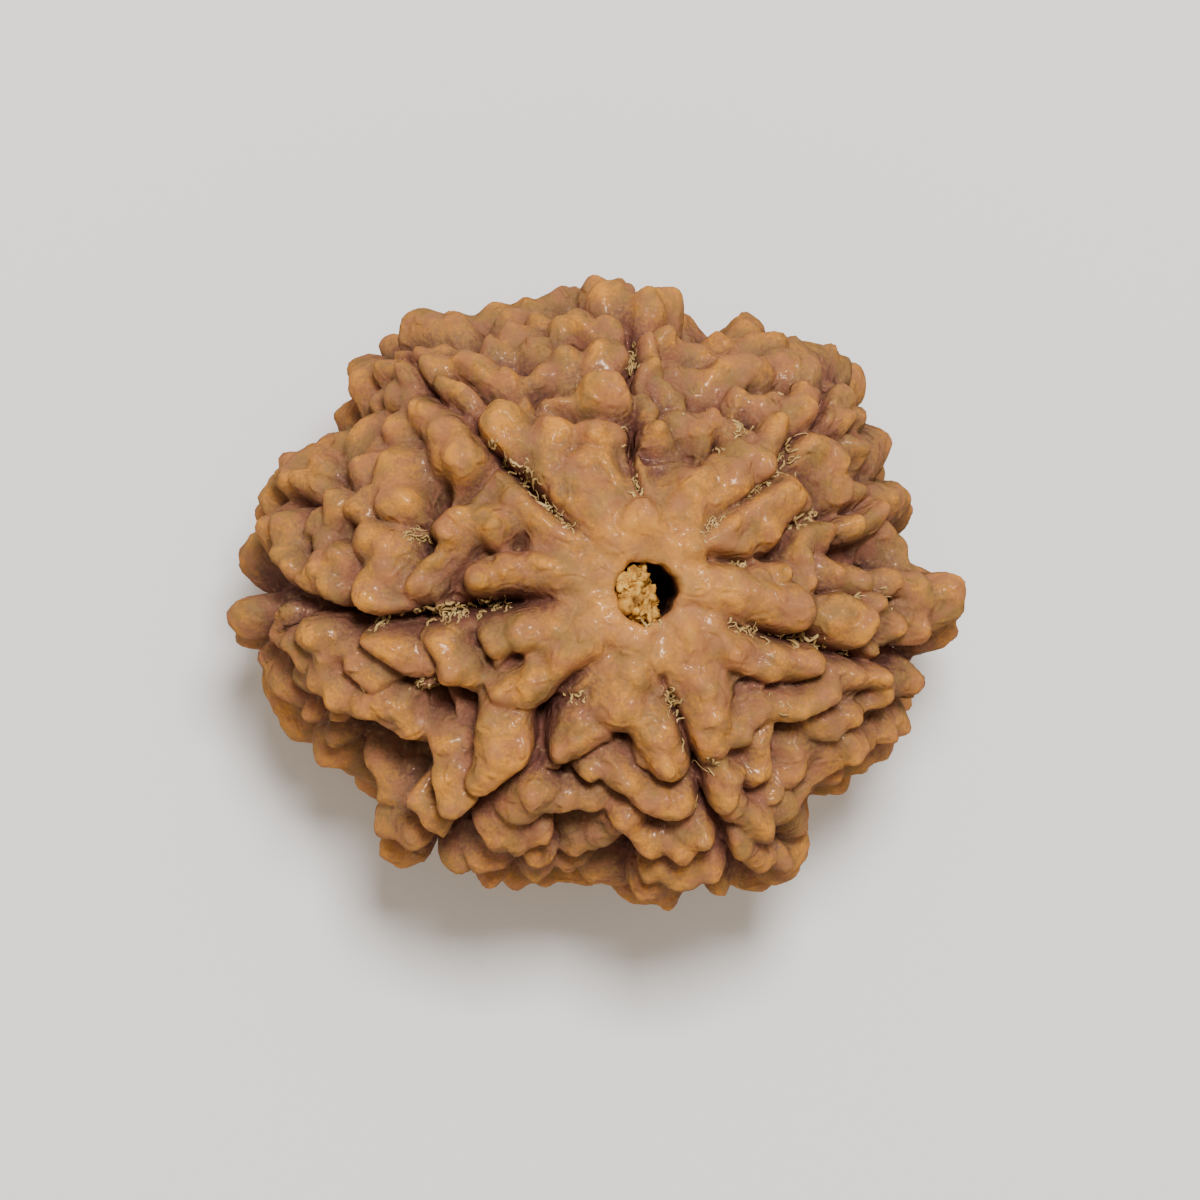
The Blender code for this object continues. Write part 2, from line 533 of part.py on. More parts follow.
def ridge_height(points, ridge, calm):
    """The highest over the ridge's runs: a rounded crest whose outward side is higher and steeper."""
    path, radii, rises = ridge
    outward = outward_of(path)
    best = np.full(len(points), LOWEST)
    for i in range(max(1, len(path) - 1)):
        j = min(i + 1, len(path) - 1)
        share, offset = run_distance(points, path[i], path[j])
        radius = radii[i] + share * (radii[j] - radii[i])
        away = np.linalg.norm(offset, axis=1)
        lean = (offset * (outward[i] + share[:, None] * (outward[j] - outward[i]))).sum(axis=1)
        fall = away / (WIDER * radius) * (1 + LEDGE * lean / np.maximum(away, 1e-6))
        fall = np.minimum(fall, RIDGE_REACH)
        length = np.linalg.norm(path[j] - path[i])
        saddle = SADDLE * np.clip(length - SADDLE_FROM, 0, 1) * calm * 4 * share * (1 - share)
        rise = rises[i] + share * (rises[j] - rises[i]) + TILT * np.clip(lean / radius, -1, 1)
        drop = RIDGE_FALL * radius * (FALL_SQUARE * fall**2 + FALL_FOURTH * fall**4)
        best = np.maximum(best, rise - saddle - drop)
    return best


def groove_depth(points, path, drops, width):
    """The deepest over the path's runs, each a groove that is bell-shaped across."""
    deepest = np.zeros(len(points))
    for i in range(len(path) - 1):
        share, offset = run_distance(points, path[i], path[i + 1])
        away = np.linalg.norm(offset, axis=1)
        drop = drops[i] + share * (drops[i + 1] - drops[i])
        deepest = np.maximum(deepest, drop * np.exp(-((away / width) ** 2)))
    return deepest


def relief(points, waves, ridges, paths):
    """Height over the rounded body: the blended highest of the ground, the collars and all ridges."""
    points = swayed(points, waves)
    plan = np.hypot(points[:, 0], points[:, 1])
    across = np.hypot(points[:, 0] - CANAL[0], points[:, 1] - CANAL[1])
    calm = np.clip((across - CALM_FROM) / CALM_OVER, 0, 1)
    blend = BLEND_NEAR + (BLEND_FAR - BLEND_NEAR) * calm
    ground = -GROUND_DROP + GROUND_LEAN * points[:, 1] / np.maximum(plan, 4.0)
    collar = -COLLAR_DROP - COLLAR_FALL * np.maximum(across - COLLAR_RADIUS, 0) ** 2
    total = np.exp(blend * ground) + np.exp(blend * collar)
    for ridge in ridges:
        path, radii, _ = ridge
        middle = (path.min(axis=0) + path.max(axis=0)) / 2
        span = np.linalg.norm(path - middle, axis=1).max()
        near = within(points, middle, span + RIDGE_REACH * WIDER / (1 - LEDGE) * radii.max())
        total[near] += np.exp(blend[near] * ridge_height(points[near], ridge, calm[near]))
    height = np.log(total) / blend
    reached = np.clip((across - GROOVE_FROM) / GROOVE_OVER, 0, 1)
    for path, (width, *course) in zip(paths, FURROWS):
        drops = [point[2] for point in course]
        drops += drops[-1:] * (len(path) - len(drops))
        height -= groove_depth(points, path, drops, width) * reached
    for cleft in CLEFTS:
        height -= CLEFT_DROP * np.exp(-((path_distance(points, lifted(cleft)) / CLEFT_WIDTH) ** 2))
    for pit, (_, _, width) in zip(lifted(PITS), PITS):
        away = np.linalg.norm(points - pit, axis=1)
        height -= PIT_DROP * (0.5 + width) * np.exp(-((away / width) ** 2))
    return height


def material(name, colour, roughness):
    made = bpy.data.materials.new(name)
    made.use_nodes = True
    shader = made.node_tree.nodes["Principled BSDF"]
    shader.inputs["Base Color"].default_value = colour
    shader.inputs["Roughness"].default_value = roughness
    return made


def add_object(name, mesh, collection, made_of=None):
    obj = bpy.data.objects.new(name, mesh)
    collection.objects.link(obj)
    if made_of:
        mesh.materials.append(made_of)
        mesh.shade_smooth()
    return obj


def add_collection(name):
    made = bpy.data.collections.new(name)
    bpy.context.scene.collection.children.link(made)
    return made


def points_of(mesh):
    """The mesh's points in mm."""
    flat = np.empty(3 * len(mesh.vertices), np.float32)
    mesh.vertices.foreach_get("co", flat)
    return flat.reshape(-1, 3).astype(float) / MM


def set_points(mesh, points):
    mesh.vertices.foreach_set("co", (points * MM).astype(np.float32).ravel())
    mesh.update()


def thinned(obj):
    """The object with fewer triangles, kept where the surface bends most."""
    thin = obj.modifiers.new("thin", "DECIMATE")
    thin.ratio = KEPT_SHARE
    graph = bpy.context.evaluated_depsgraph_get()
    mesh = bpy.data.meshes.new_from_object(obj.evaluated_get(graph))
    obj.modifiers.clear()
    whole, obj.data = obj.data, mesh
    bpy.data.meshes.remove(whole)
    return obj


def canal_cutter(collection):
    shape = bmesh.new()
    place = Matrix.Translation(Vector((*CANAL, MIDDLE_Z)) * MM)
    bmesh.ops.create_cone(
        shape,
        cap_ends=True,
        segments=CANAL_SIDES,
        radius1=CANAL_RADIUS * MM,
        radius2=CANAL_RADIUS * MM,
        depth=4 * HALF_Z * MM,
        matrix=place,
    )
    mesh = bpy.data.meshes.new("canal cutter")
    shape.to_mesh(mesh)
    shape.free()
    cutter = add_object("canal cutter", mesh, collection)
    cutter.hide_render = True
    cutter.display_type = "WIRE"
    return cutter


def nut(collection, cutters):
    """A sphere carried out to the rounded body, worked by the relief, thinned and drilled."""
    shape = bmesh.new()
    bmesh.ops.create_icosphere(shape, subdivisions=SPHERE_SUBDIVISIONS, radius=MM)
    mesh = bpy.data.meshes.new("nut")
    shape.to_mesh(mesh)
    shape.free()
    points = points_of(mesh)
    points /= body_size(points)[:, None]
    random = np.random.default_rng(SEED)
    waves = wave_list(random)
    listed = listed_ridges(random)
    paths = furrow_paths(random)
    ridges = small_lowered(drawn_ridges(random, listed + petal_ridges(paths), paths))
    points += body_normals(points) * relief(points, waves, ridges, paths)[:, None]
    set_points(mesh, points + (0.0, 0.0, MIDDLE_Z))
    bead = thinned(add_object("nut", mesh, collection, material("nut shell", NUT_COLOUR, NUT_ROUGHNESS)))
    points = points_of(bead.data)
    points[:, 2] = np.maximum(points[:, 2], FLAT_Z)
    set_points(bead.data, points)
    drill = bead.modifiers.new("drill", "BOOLEAN")
    drill.object = canal_cutter(cutters)
    drill.operation = "DIFFERENCE"


def pith(collection):
    """A crumbling plug that stands clear of the canal's wall, more to its left."""
    shape = bmesh.new()
    bmesh.ops.create_icosphere(shape, subdivisions=PITH_SUBDIVISIONS, radius=MM)
    mesh = bpy.data.meshes.new("pith")
    shape.to_mesh(mesh)
    shape.free()
    random = np.random.default_rng(SEED)
    points = points_of(mesh)
    bumps = np.ones(len(points))
    for _ in range(WAVES):
        heading = random.normal(0, PITH_WAVE, 3)
        bumps += PITH_LUMPS / 3 * np.sin(points @ heading + random.uniform(0, 2 * math.pi))
    middle = (CANAL[0] + PITH_MIDDLE[0], CANAL[1] + PITH_MIDDLE[1], PITH_TOP_Z - PITH_HALF[2])
    points *= np.minimum(bumps, 1 + PITH_LUMPS / 2)[:, None] * PITH_HALF
    set_points(mesh, points + middle)
    add_object("pith", mesh, collection, material("dry pith", PITH_COLOUR, PITH_ROUGHNESS))


def main():
    for obj in list(bpy.data.objects):
        bpy.data.objects.remove(obj)
    parts = add_collection("rudraksha")
    cutters = add_collection("cutters")
    nut(parts, cutters)
    pith(parts)


main()
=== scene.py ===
# A rudraksha nut of seven faces, with dry pith in its canal and pulp fibres in its furrows.
# Metres, +Z up along the canal. The forms are the frame's own, worked again a little bolder on a
# finer grid, and lengths here are in mm until a mesh is made.
import math

import bpy
import numpy as np
from mathutils import Matrix, Vector


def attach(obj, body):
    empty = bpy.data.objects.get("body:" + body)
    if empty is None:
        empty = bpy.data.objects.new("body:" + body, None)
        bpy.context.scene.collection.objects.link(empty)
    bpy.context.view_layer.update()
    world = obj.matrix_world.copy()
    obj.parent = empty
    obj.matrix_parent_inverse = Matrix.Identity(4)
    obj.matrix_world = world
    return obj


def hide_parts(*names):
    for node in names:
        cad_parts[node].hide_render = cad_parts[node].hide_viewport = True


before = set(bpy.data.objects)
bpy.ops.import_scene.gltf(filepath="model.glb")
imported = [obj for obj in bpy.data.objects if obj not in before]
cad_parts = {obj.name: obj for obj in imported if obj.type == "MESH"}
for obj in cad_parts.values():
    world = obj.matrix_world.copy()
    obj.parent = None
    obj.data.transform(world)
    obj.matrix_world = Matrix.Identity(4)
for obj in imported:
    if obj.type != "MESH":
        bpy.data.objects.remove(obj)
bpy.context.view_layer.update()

mm = 0.001
fullTurn = 2 * math.pi

# The rounded body under the relief.
body = dict(
    halfHeight=8.9,
    sidePower=2.2,
    middleZ=8.3,
    # azimuth in degrees and reach of the outline from above, a swell on each face
    outline=(
        (0, 12.1), (12, 10.95), (25, 10.8), (40, 11.95), (58, 10.95), (70, 9.9), (86, 10.9),
        (108, 10.4), (130, 11.75), (147, 10.6), (162, 11.8), (182, 12.3), (200, 11.25),
        (217, 10.1), (231, 11.15), (247, 10.4), (265, 9.5), (283, 10.55), (300, 11.3),
        (318, 10.05), (333, 11.0), (347, 11.4), (360, 12.1),
    ),
)
# The drilled canal, and the smooth collar round each mouth.
canal = dict(
    x=0.6, y=0.1, radius=1.03, collarRadius=2.1, collarDrop=0.36, collarFall=0.1,
    # width of the rolled lip, and how much of a quarter circle it turns through
    lip=0.2, lipTurn=0.98,
    # height, count round the mouth and phase of each wave in its edge
    edgeWaves=((0.03, 3, 1.0), (0.022, 7, 0.0), (0.016, 12, 2.0)),
    # height, count round and turns along of the wave in the canal's wall
    wallWave=(0.015, 7, 9),
)
# How the relief is worked.
carving = dict(
    seed=7,
    # the sunken ground, deeper at the front, and what is cut into it
    groundDrop=1.4, groundLean=0.3, leanFrom=4.0, cleftDrop=0.75, cleftWidth=0.22,
    pitDrop=0.9, pitLeast=0.5,
    # furrows fade in over this width from this distance from the canal
    furrowFrom=1.8, furrowOver=3.0,
    # a ridge's rounding, its saddles between points, its lean outward and the range of its tops
    ridgeFall=0.85, ridgeReach=1.8, crest=0.65, wider=1.14, saddle=0.3, saddleFrom=0.8, ledge=0.36,
    tilt=0.2, tops=(-0.25, 0.1), smallLower=0.35,
    # how sharply forms part near the canal and farther out, and where that changes
    blendNear=9.0, blendFar=15.0, farFrom=3.0, farOver=2.5,
    # crossed waves that sway everything a little
    waves=9, waveLengths=(1.6, 4.0), waveSway=0.05,
)
# The finer forms that only this mesh holds.
detail = dict(
    seed=21,
    # hollows are this much deeper than the solid's, below this height
    deepen=0.25, deepenFrom=-0.3,
    # small tips along the ridges, and bumps anywhere
    tipShare=0.48, tipStray=0.12, tipWidths=(0.8, 1.3), tipHeight=0.2, tipHeights=(0.3, 1.3),
    bumps=520, bumpRadii=(0.25, 0.8), bumpHeights=(0.01, 0.07), poleGap=0.99,
    ripples=42, rippleLengths=(0.7, 2.6), rippleHeight=0.035,
    # growth rings: their middle lies off to the side of a knob, and they show in bands over the nut
    ringStep=0.46, ringHeight=0.018, ringAside=0.7, ringLean=(0.4, -0.6, -0.7), ringReach=1.5,
    ringBands=(0.9, 0.5, 0.7), ringShow=(0.6, 1.5),
    # creases over the knobs and ribs over the ground
    creaseWaves=9, creaseLengths=(1.1, 2.4), creaseWidth=0.2, creaseDrop=0.06, ribWidth=0.45, ribHeight=0.3,
    # how the fine forms fade on the ground and towards the canal
    groundLevel=-1.0, groundFade=0.7, groundShare=0.25, calmFrom=0.4, calmOver=2.0, calmLeast=0.5,
    # sideways swell of the knobs
    swell=0.03, swellFrom=1.6, swellOver=1.5, swellDepth=1.6,
)
# What the shell's colour goes by.
marking = dict(
    # the share of the hollowness, seen from neighbours so many rows and columns off, that darkens the
    # creases as painted shade, and the canal wall's depth, a painted shade down the canal
    creaseShade=0.8, hollowRows=7, hollowColumns=5, canalShade=-1.6,
    # width of the stain along a furrow
    stainWidth=0.6,
    # the lighter, more golden ring round the mouths: how wide, how much it tints and lightens, and the
    # heights where it shows
    mouthWidth=1.9, mouthShare=0.3, mouthRise=0.3, mouthFrom=-1.0, mouthOver=0.5,
)
# The grid: steps round the canal, then rows down the upper side, the lower side and the canal.
grid = dict(round=448, upper=128, lower=76, canal=16)
# The sight line in which the upper side's lists are read: the eye's distance and its lean in degrees,
# the canal's mouth in the picture, and the width of the picture and the sensor.
view = dict(
    distance=200.0, leanLeft=6.0, leanFront=1.0, canalX=1.5, canalY=0.2,
    pictureWidth=40.0, sensorWidth=36.0,
)

# Furrows: half width, then the course from the collar to the rim, x, y and drop at each point.
furrows = (
    (0.22, (-2.3, 2.2, 0.8), (-3.8, 3.7, 1.1), (-5.0, 4.5, 0.9),
     (-6.1, 5.9, 0.55), (-7.6, 7.2, 0.5), (-8.05, 8.1, 0.5)),
    (0.16, (0.0, 3.3, 0.9), (-0.3, 4.5, 1.1), (-0.35, 5.5, 0.9),
     (-0.4, 7.5, 0.45), (-0.35, 8.5, 0.4), (-0.45, 9.95, 0.4)),
    (0.18, (1.9, 2.0, 0.5), (3.2, 3.2, 0.75), (4.6, 4.0, 0.6),
     (4.85, 4.9, 0.5), (5.5, 5.6, 0.5), (6.4, 7.3, 0.5)),
    (0.24, (3.0, -1.0, 0.6), (4.9, -1.4, 0.9), (5.9, -1.4, 1.1),
     (6.5, -1.9, 1.1), (7.9, -2.4, 1.1), (9.5, -1.9, 1.1)),
    (0.19, (0.8, -3.0, 0.6), (1.2, -4.5, 0.8), (1.9, -6.4, 0.75),
     (2.0, -7.1, 0.8), (2.7, -8.6, 0.8), (3.0, -10.2, 0.55)),
    (0.26, (-1.7, -2.3, 0.6), (-3.5, -4.5, 1.2), (-3.9, -6.0, 1.1),
     (-4.6, -6.4, 1.1), (-6.2, -8.3, 1.0), (-6.8, -9.0, 1.0)),
    (0.34, (-2.5, 0.0, 0.9), (-5.0, -0.5, 1.6), (-7.2, -0.9, 1.4),
     (-10.0, -1.1, 1.9), (-11.6, -0.4, 1.3), (-12.6, 0.7, 0.4)),
)
# Shorter clefts inside a face, and pits between knobs.
clefts = (
    ((2.3, 1.2), (3.5, 1.2), (4.5, 1.6), (5.6, 2.7), (6.5, 2.8), (7.7, 3.2), (8.6, 4.1)),
    ((-3.0, 6.4), (-2.2, 6.1), (-0.6, 6.1)),
    ((-0.9, -5.2), (-0.6, -5.9), (0.4, -6.4), (1.0, -6.4)),
    ((-3.5, -6.3), (-1.5, -6.8)),
    ((-4.1, -2.5), (-5.0, -2.9), (-5.9, -1.7)),
    ((3.7, -3.6), (5.2, -3.5), (6.2, -2.7)),
    ((5.5, -4.5), (6.5, -4.2), (7.8, -3.6)),
    ((7.0, 1.6), (8.6, 1.5)),
    ((-11.8, 1.9), (-11.8, 1.1)),
    ((-7.3, 3.3), (-7.3, 4.0)),
    ((-6.5, 3.3), (-5.7, 4.0), (-5.1, 4.8)),
    ((-6.3, 7.6), (-5.4, 7.2), (-4.7, 6.7)),
)
pits = (
    (-3.3, 7.2, 0.3), (-4.1, 7.9, 0.3), (-2.5, 8.9, 0.3), (1.5, 4.6, 0.25), (1.8, 6.5, 0.25),
    (3.8, 7.2, 0.25), (3.6, 6.1, 0.25), (4.5, 7.5, 0.25), (2.6, 5.5, 0.25), (6.4, 0.5, 0.3),
    (7.5, 5.4, 0.35), (7.4, 4.2, 0.3), (8.9, -0.1, 0.3), (3.3, -5.6, 0.35), (4.3, -6.8, 0.35),
    (4.9, -5.0, 0.4), (4.8, -5.8, 0.35), (-2.0, -8.2, 0.55), (-0.5, -9.2, 0.4), (-3.0, -9.0, 0.4),
    (0.3, -8.2, 0.35), (-9.6, -5.2, 0.8), (-8.1, -5.8, 0.7), (-11.3, -3.7, 0.35), (-6.5, -3.5, 0.5),
    (-7.4, -4.2, 0.5), (-7.2, -6.9, 0.4), (-8.0, -7.6, 0.4), (-8.3, -3.3, 0.45), (-10.1, 2.2, 0.3),
    (-4.5, 1.9, 0.35), (-7.5, 1.7, 0.35), (-3.3, -4.5, 0.6), (-7.1, 3.7, 0.45), (-10.0, -0.9, 0.5),
    (-6.3, -8.6, 0.5), (-2.9, 6.9, 0.3),
)
# Ridges and knobs of the upper side, face by face: x, y and radius at each point, and a rise where
# one stands out.
faces = dict(
    upperLeft=(
        ((-0.7, 1.7, 0.95), (-1.5, 3.0, 1.15), (-2.1, 4.3, 1.2)),
        ((-2.0, 3.2, 0.8), (-3.2, 4.6, 0.9), (-3.4, 5.3, 0.85)),
        ((-1.6, 5.5, 0.8),),
        ((-3.0, 5.6, 0.8),),
        ((-1.4, 7.0, 1.0, 0.1),),
        ((-1.5, 8.4, 0.9),),
        ((-1.4, 9.4, 0.8),),
        ((-1.15, 10.2, 0.75, 0.35),),
        ((-2.8, 6.6, 0.55), (-2.7, 8.2, 0.55)),
        ((-3.8, 8.7, 0.5), (-3.4, 7.8, 0.5)),
        ((-3.0, 9.3, 0.7),),
        ((-2.3, 9.4, 0.6),),
        ((-4.4, 9.0, 0.6),),
        ((-3.6, 9.4, 0.5),),
        ((-5.0, 8.7, 0.55),),
        ((-7.2, 7.9, 0.75), (-6.0, 8.0, 0.75), (-5.4, 7.8, 0.75), (-4.6, 7.5, 0.7)),
        ((-6.8, 7.2, 0.75), (-6.1, 7.0, 0.8)),
        ((-7.6, 8.4, 0.6), (-6.8, 8.7, 0.6), (-6.0, 8.4, 0.55)),
        ((-4.95, 5.85, 0.9, 0.3),),
        ((-3.9, 6.3, 0.4), (-3.7, 5.3, 0.4)),
    ),
    upper=(
        ((-0.1, 2.45, 0.75, 0.45),),
        ((0.9, 1.7, 0.9), (1.4, 3.0, 1.1), (1.8, 4.0, 1.1)),
        ((1.6, 3.2, 0.9), (2.9, 4.2, 1.0)),
        ((0.6, 5.6, 0.65),),
        ((0.3, 6.6, 0.5), (0.4, 7.8, 0.5), (0.4, 8.7, 0.5)),
        ((0.4, 7.9, 0.35), (0.8, 7.2, 0.35), (1.2, 6.8, 0.35)),
        ((1.3, 7.8, 0.45), (1.3, 6.6, 0.45)),
        ((0.1, 9.9, 0.7, 0.3), (0.75, 9.8, 0.75, 0.3)),
        ((0.9, 8.8, 0.5), (1.8, 8.3, 0.5), (2.6, 8.3, 0.5)),
        ((2.0, 7.5, 0.7),),
        ((2.5, 7.8, 0.65), (3.3, 7.9, 0.65), (4.0, 8.1, 0.6)),
        ((2.6, 8.6, 0.5), (3.4, 8.7, 0.5), (4.4, 8.6, 0.5)),
        ((3.3, 6.9, 0.6), (4.1, 6.6, 0.6)),
        ((2.0, 5.7, 0.5),),
        ((1.4, 6.1, 0.35), (2.2, 6.1, 0.35)),
        ((2.1, 5.9, 0.35), (3.0, 5.9, 0.35), (3.6, 5.5, 0.35), (3.2, 5.2, 0.35)),
        ((3.4, 4.9, 0.75), (4.1, 4.6, 0.75)),
        ((4.2, 5.2, 0.5), (4.6, 5.9, 0.5)),
        ((5.2, 6.4, 0.75),),
        ((4.6, 6.9, 0.5), (5.4, 7.2, 0.5), (5.9, 7.1, 0.45)),
        ((4.9, 8.0, 0.6), (5.6, 7.8, 0.55)),
        ((4.3, 8.3, 0.4), (4.9, 7.9, 0.4)),
    ),
    right=(
        ((1.6, 1.3, 0.7), (2.9, 2.2, 0.85), (4.2, 2.9, 1.05), (4.9, 3.3, 1.1)),
        ((1.4, 0.2, 0.7), (3.0, 0.2, 0.9), (4.4, -0.2, 1.1), (5.2, -0.4, 1.05)),
        ((5.2, 3.8, 0.4), (5.6, 3.3, 0.4)),
        ((6.0, 5.0, 0.9), (6.6, 4.4, 0.95)),
        ((6.9, 3.6, 0.8),),
        ((6.4, 6.4, 0.6), (7.2, 6.0, 0.65), (7.7, 5.9, 0.6)),
        ((6.6, 7.0, 0.5), (7.1, 6.7, 0.5)),
        ((7.5, 4.9, 0.6), (8.4, 4.9, 0.65)),
        ((7.4, 3.7, 0.45),),
        ((7.2, 2.7, 0.7), (8.0, 3.1, 0.7), (8.5, 3.4, 0.65)),
        ((5.6, 2.1, 0.7), (6.4, 2.3, 0.7)),
        ((5.2, 2.0, 0.5), (5.4, 1.2, 0.5), (5.6, 0.6, 0.5)),
        ((6.6, 0.9, 0.55), (7.6, 0.7, 0.55)),
        ((8.6, 2.3, 0.4), (8.95, 1.7, 0.45), (9.2, 1.2, 0.45)),
        ((8.6, 0.7, 0.8), (9.4, 0.3, 0.85, 0.1), (9.6, -0.5, 0.85), (9.4, -1.2, 0.8)),
        ((10.2, 0.3, 0.9), (10.3, -0.6, 0.9)),
        ((6.8, -0.8, 0.95, 0.1), (7.4, -1.1, 0.95, 0.2)),
        ((8.1, -0.4, 0.6), (8.7, -1.3, 0.6)),
        ((5.6, 0.4, 0.3), (6.0, -0.6, 0.3)),
        ((4.0, 1.0, 0.4), (4.6, 0.9, 0.4)),
    ),
    lowerRight=(
        ((1.5, -1.2, 0.75), (3.0, -2.0, 0.8), (4.6, -2.3, 0.9), (5.7, -2.2, 0.85)),
        ((3.9, -4.1, 0.55), (5.2, -4.1, 0.65), (6.3, -3.3, 0.7), (8.0, -2.7, 0.8)),
        ((6.3, -4.9, 0.6), (7.2, -4.2, 0.65), (8.2, -3.5, 0.7), (9.3, -3.1, 0.75)),
        ((9.5, -2.6, 0.5), (9.8, -3.4, 0.5)),
        ((5.2, -6.0, 0.7), (6.2, -5.9, 0.75), (6.9, -5.6, 0.75)),
        ((7.4, -5.4, 0.5), (8.4, -4.8, 0.5)),
        ((6.4, -6.4, 0.6), (5.6, -6.7, 0.6)),
        ((1.4, -1.9, 0.85), (2.1, -3.2, 1.0), (2.4, -4.4, 1.15), (2.3, -5.1, 1.1)),
        ((3.2, -4.6, 0.7),),
        ((4.2, -5.0, 0.6), (4.2, -6.0, 0.65), (4.6, -6.7, 0.65)),
        ((3.0, -6.2, 0.75), (2.8, -7.0, 0.75)),
        ((3.4, -7.6, 0.85), (4.2, -8.0, 0.9, 0.1), (5.0, -7.2, 0.85)),
        ((5.3, -7.2, 0.6), (5.5, -7.9, 0.6)),
        ((3.4, -8.9, 0.7), (4.2, -9.3, 0.7)),
        ((4.9, -9.2, 0.45),),
    ),
    lower=(
        ((-0.3, -1.5, 0.85), (-0.6, -2.8, 1.0), (-0.9, -4.0, 1.05)),
        ((-0.1, -4.4, 0.75), (0.4, -5.1, 0.8), (0.8, -5.8, 0.8)),
        ((-0.6, -6.4, 0.8), (0.3, -7.0, 0.95), (1.0, -7.3, 0.95)),
        ((-0.6, -7.9, 0.5), (0.2, -8.8, 0.6), (1.2, -8.9, 0.65), (1.9, -8.4, 0.65)),
        ((0.2, -9.8, 0.7), (1.2, -9.8, 0.75), (2.0, -9.6, 0.7)),
        ((0.7, -10.6, 0.5, -0.1),),
        ((2.5, -10.3, 0.5),),
        ((-2.9, -5.2, 0.9, 0.15), (-2.2, -5.0, 0.85)),
        ((-1.8, -6.3, 0.4), (-1.2, -5.8, 0.4)),
        ((-4.0, -6.8, 0.9, 0.2), (-4.3, -7.6, 1.05), (-4.8, -8.6, 1.15), (-5.4, -9.3, 0.95)),
        ((-3.6, -7.2, 0.65), (-2.6, -7.4, 0.65), (-1.6, -7.4, 0.6)),
        ((-4.4, -8.9, 0.3), (-3.3, -8.5, 0.3)),
        ((-3.5, -9.2, 0.5), (-3.6, -9.7, 0.5)),
        ((-2.3, -9.0, 0.5), (-1.6, -8.6, 0.5), (-1.0, -8.3, 0.5)),
        ((-2.4, -9.5, 0.4),),
        ((-6.2, -9.4, 0.7), (-5.4, -9.8, 0.65)),
    ),
    lowerLeft=(
        ((-1.4, -1.0, 0.85), (-2.5, -1.9, 1.0), (-3.5, -3.0, 1.1)),
        ((-2.2, -1.4, 0.75), (-4.0, -1.6, 0.8)),
        ((-5.0, -1.9, 0.75),),
        ((-4.7, -3.2, 0.7), (-3.9, -3.4, 0.7)),
        ((-7.1, -1.3, 0.7), (-6.7, -2.0, 0.7), (-6.4, -2.6, 0.75, 0.3)),
        ((-9.3, -1.6, 0.65), (-8.6, -1.9, 0.7), (-8.1, -2.2, 0.65)),
        ((-9.8, -2.6, 0.5), (-9.2, -3.1, 0.5)),
        ((-11.4, -1.6, 0.75, 0.2),),
        ((-12.8, -0.8, 0.7, -0.3), (-12.9, -1.8, 0.65, -0.3)),
        ((-12.3, -2.0, 0.5), (-11.8, -2.5, 0.5), (-11.0, -2.5, 0.5), (-10.2, -2.3, 0.5)),
        ((-11.0, -3.0, 0.7), (-10.3, -3.7, 0.75), (-9.4, -4.1, 0.7), (-7.9, -4.9, 0.55)),
        ((-8.7, -3.9, 0.5), (-8.1, -4.5, 0.5)),
        ((-7.8, -3.3, 0.35, -0.35),),
        ((-6.9, -4.1, 0.35, -0.35),),
        ((-5.3, -4.3, 0.7), (-5.0, -5.2, 1.1, 0.25), (-5.3, -6.2, 0.8, 0.25)),
        ((-6.9, -5.3, 0.55), (-6.7, -6.3, 0.7, 0.1), (-6.4, -7.1, 0.75, 0.3)),
        ((-8.0, -6.3, 0.45), (-7.9, -7.0, 0.5), (-7.3, -7.8, 0.5), (-6.8, -8.2, 0.45)),
        ((-9.2, -6.2, 0.5), (-9.0, -6.8, 0.55)),
        ((-8.9, -7.8, 0.75), (-8.3, -8.4, 0.7)),
        ((-12.0, -3.0, 0.5), (-11.4, -3.2, 0.5)),
        ((-12.3, -3.6, 0.5),),
        ((-11.6, -4.3, 0.6),),
        ((-10.7, -4.4, 0.5),),
        ((-10.6, -5.3, 0.5),),
    ),
    left=(
        ((-1.4, 0.7, 0.7), (-3.0, 0.9, 0.8), (-4.6, 0.8, 0.8)),
        ((-5.5, 0.4, 0.65),),
        ((-7.7, 0.5, 0.6), (-7.3, 1.1, 0.6), (-6.8, 1.7, 0.6)),
        ((-6.7, 2.3, 0.75), (-6.3, 2.8, 0.8)),
        ((-2.4, 1.9, 0.7), (-3.6, 2.4, 0.75), (-4.6, 3.2, 0.8), (-5.4, 3.9, 0.75)),
        ((-5.5, 2.6, 0.6), (-5.0, 2.2, 0.6)),
        ((-7.5, 6.1, 0.75), (-6.9, 5.4, 0.95, 0.25), (-6.4, 4.7, 1.1, 0.5)),
        ((-8.7, 6.8, 0.75), (-7.9, 6.4, 0.75)),
        ((-9.1, 7.6, 0.55), (-8.2, 7.6, 0.6)),
        ((-8.8, 8.0, 0.4), (-8.2, 8.1, 0.4)),
        ((-9.4, 6.6, 0.35),),
        ((-9.6, 5.4, 0.8), (-9.5, 4.6, 0.85)),
        ((-8.6, 5.6, 0.6),),
        ((-8.6, 4.4, 0.95, 0.25), (-8.5, 3.4, 0.9, 0.2)),
        ((-9.5, 3.6, 0.55), (-9.8, 3.0, 0.6)),
        ((-10.6, 3.4, 0.6), (-10.7, 2.7, 0.65)),
        ((-11.6, 4.1, 0.55), (-11.3, 3.9, 0.5)),
        ((-10.9, 4.6, 0.5), (-10.3, 5.3, 0.5)),
        ((-12.4, 2.4, 0.6), (-12.5, 1.5, 0.6), (-12.2, 0.9, 0.55)),
        ((-11.6, 2.6, 0.6), (-11.2, 1.9, 0.6)),
        ((-11.8, 0.5, 0.7), (-11.2, 0.9, 0.75)),
        ((-10.5, 1.3, 0.6), (-10.7, 0.3, 0.6)),
        ((-9.0, 0.9, 0.9, 0.1), (-9.3, 0.0, 0.9, 0.25)),
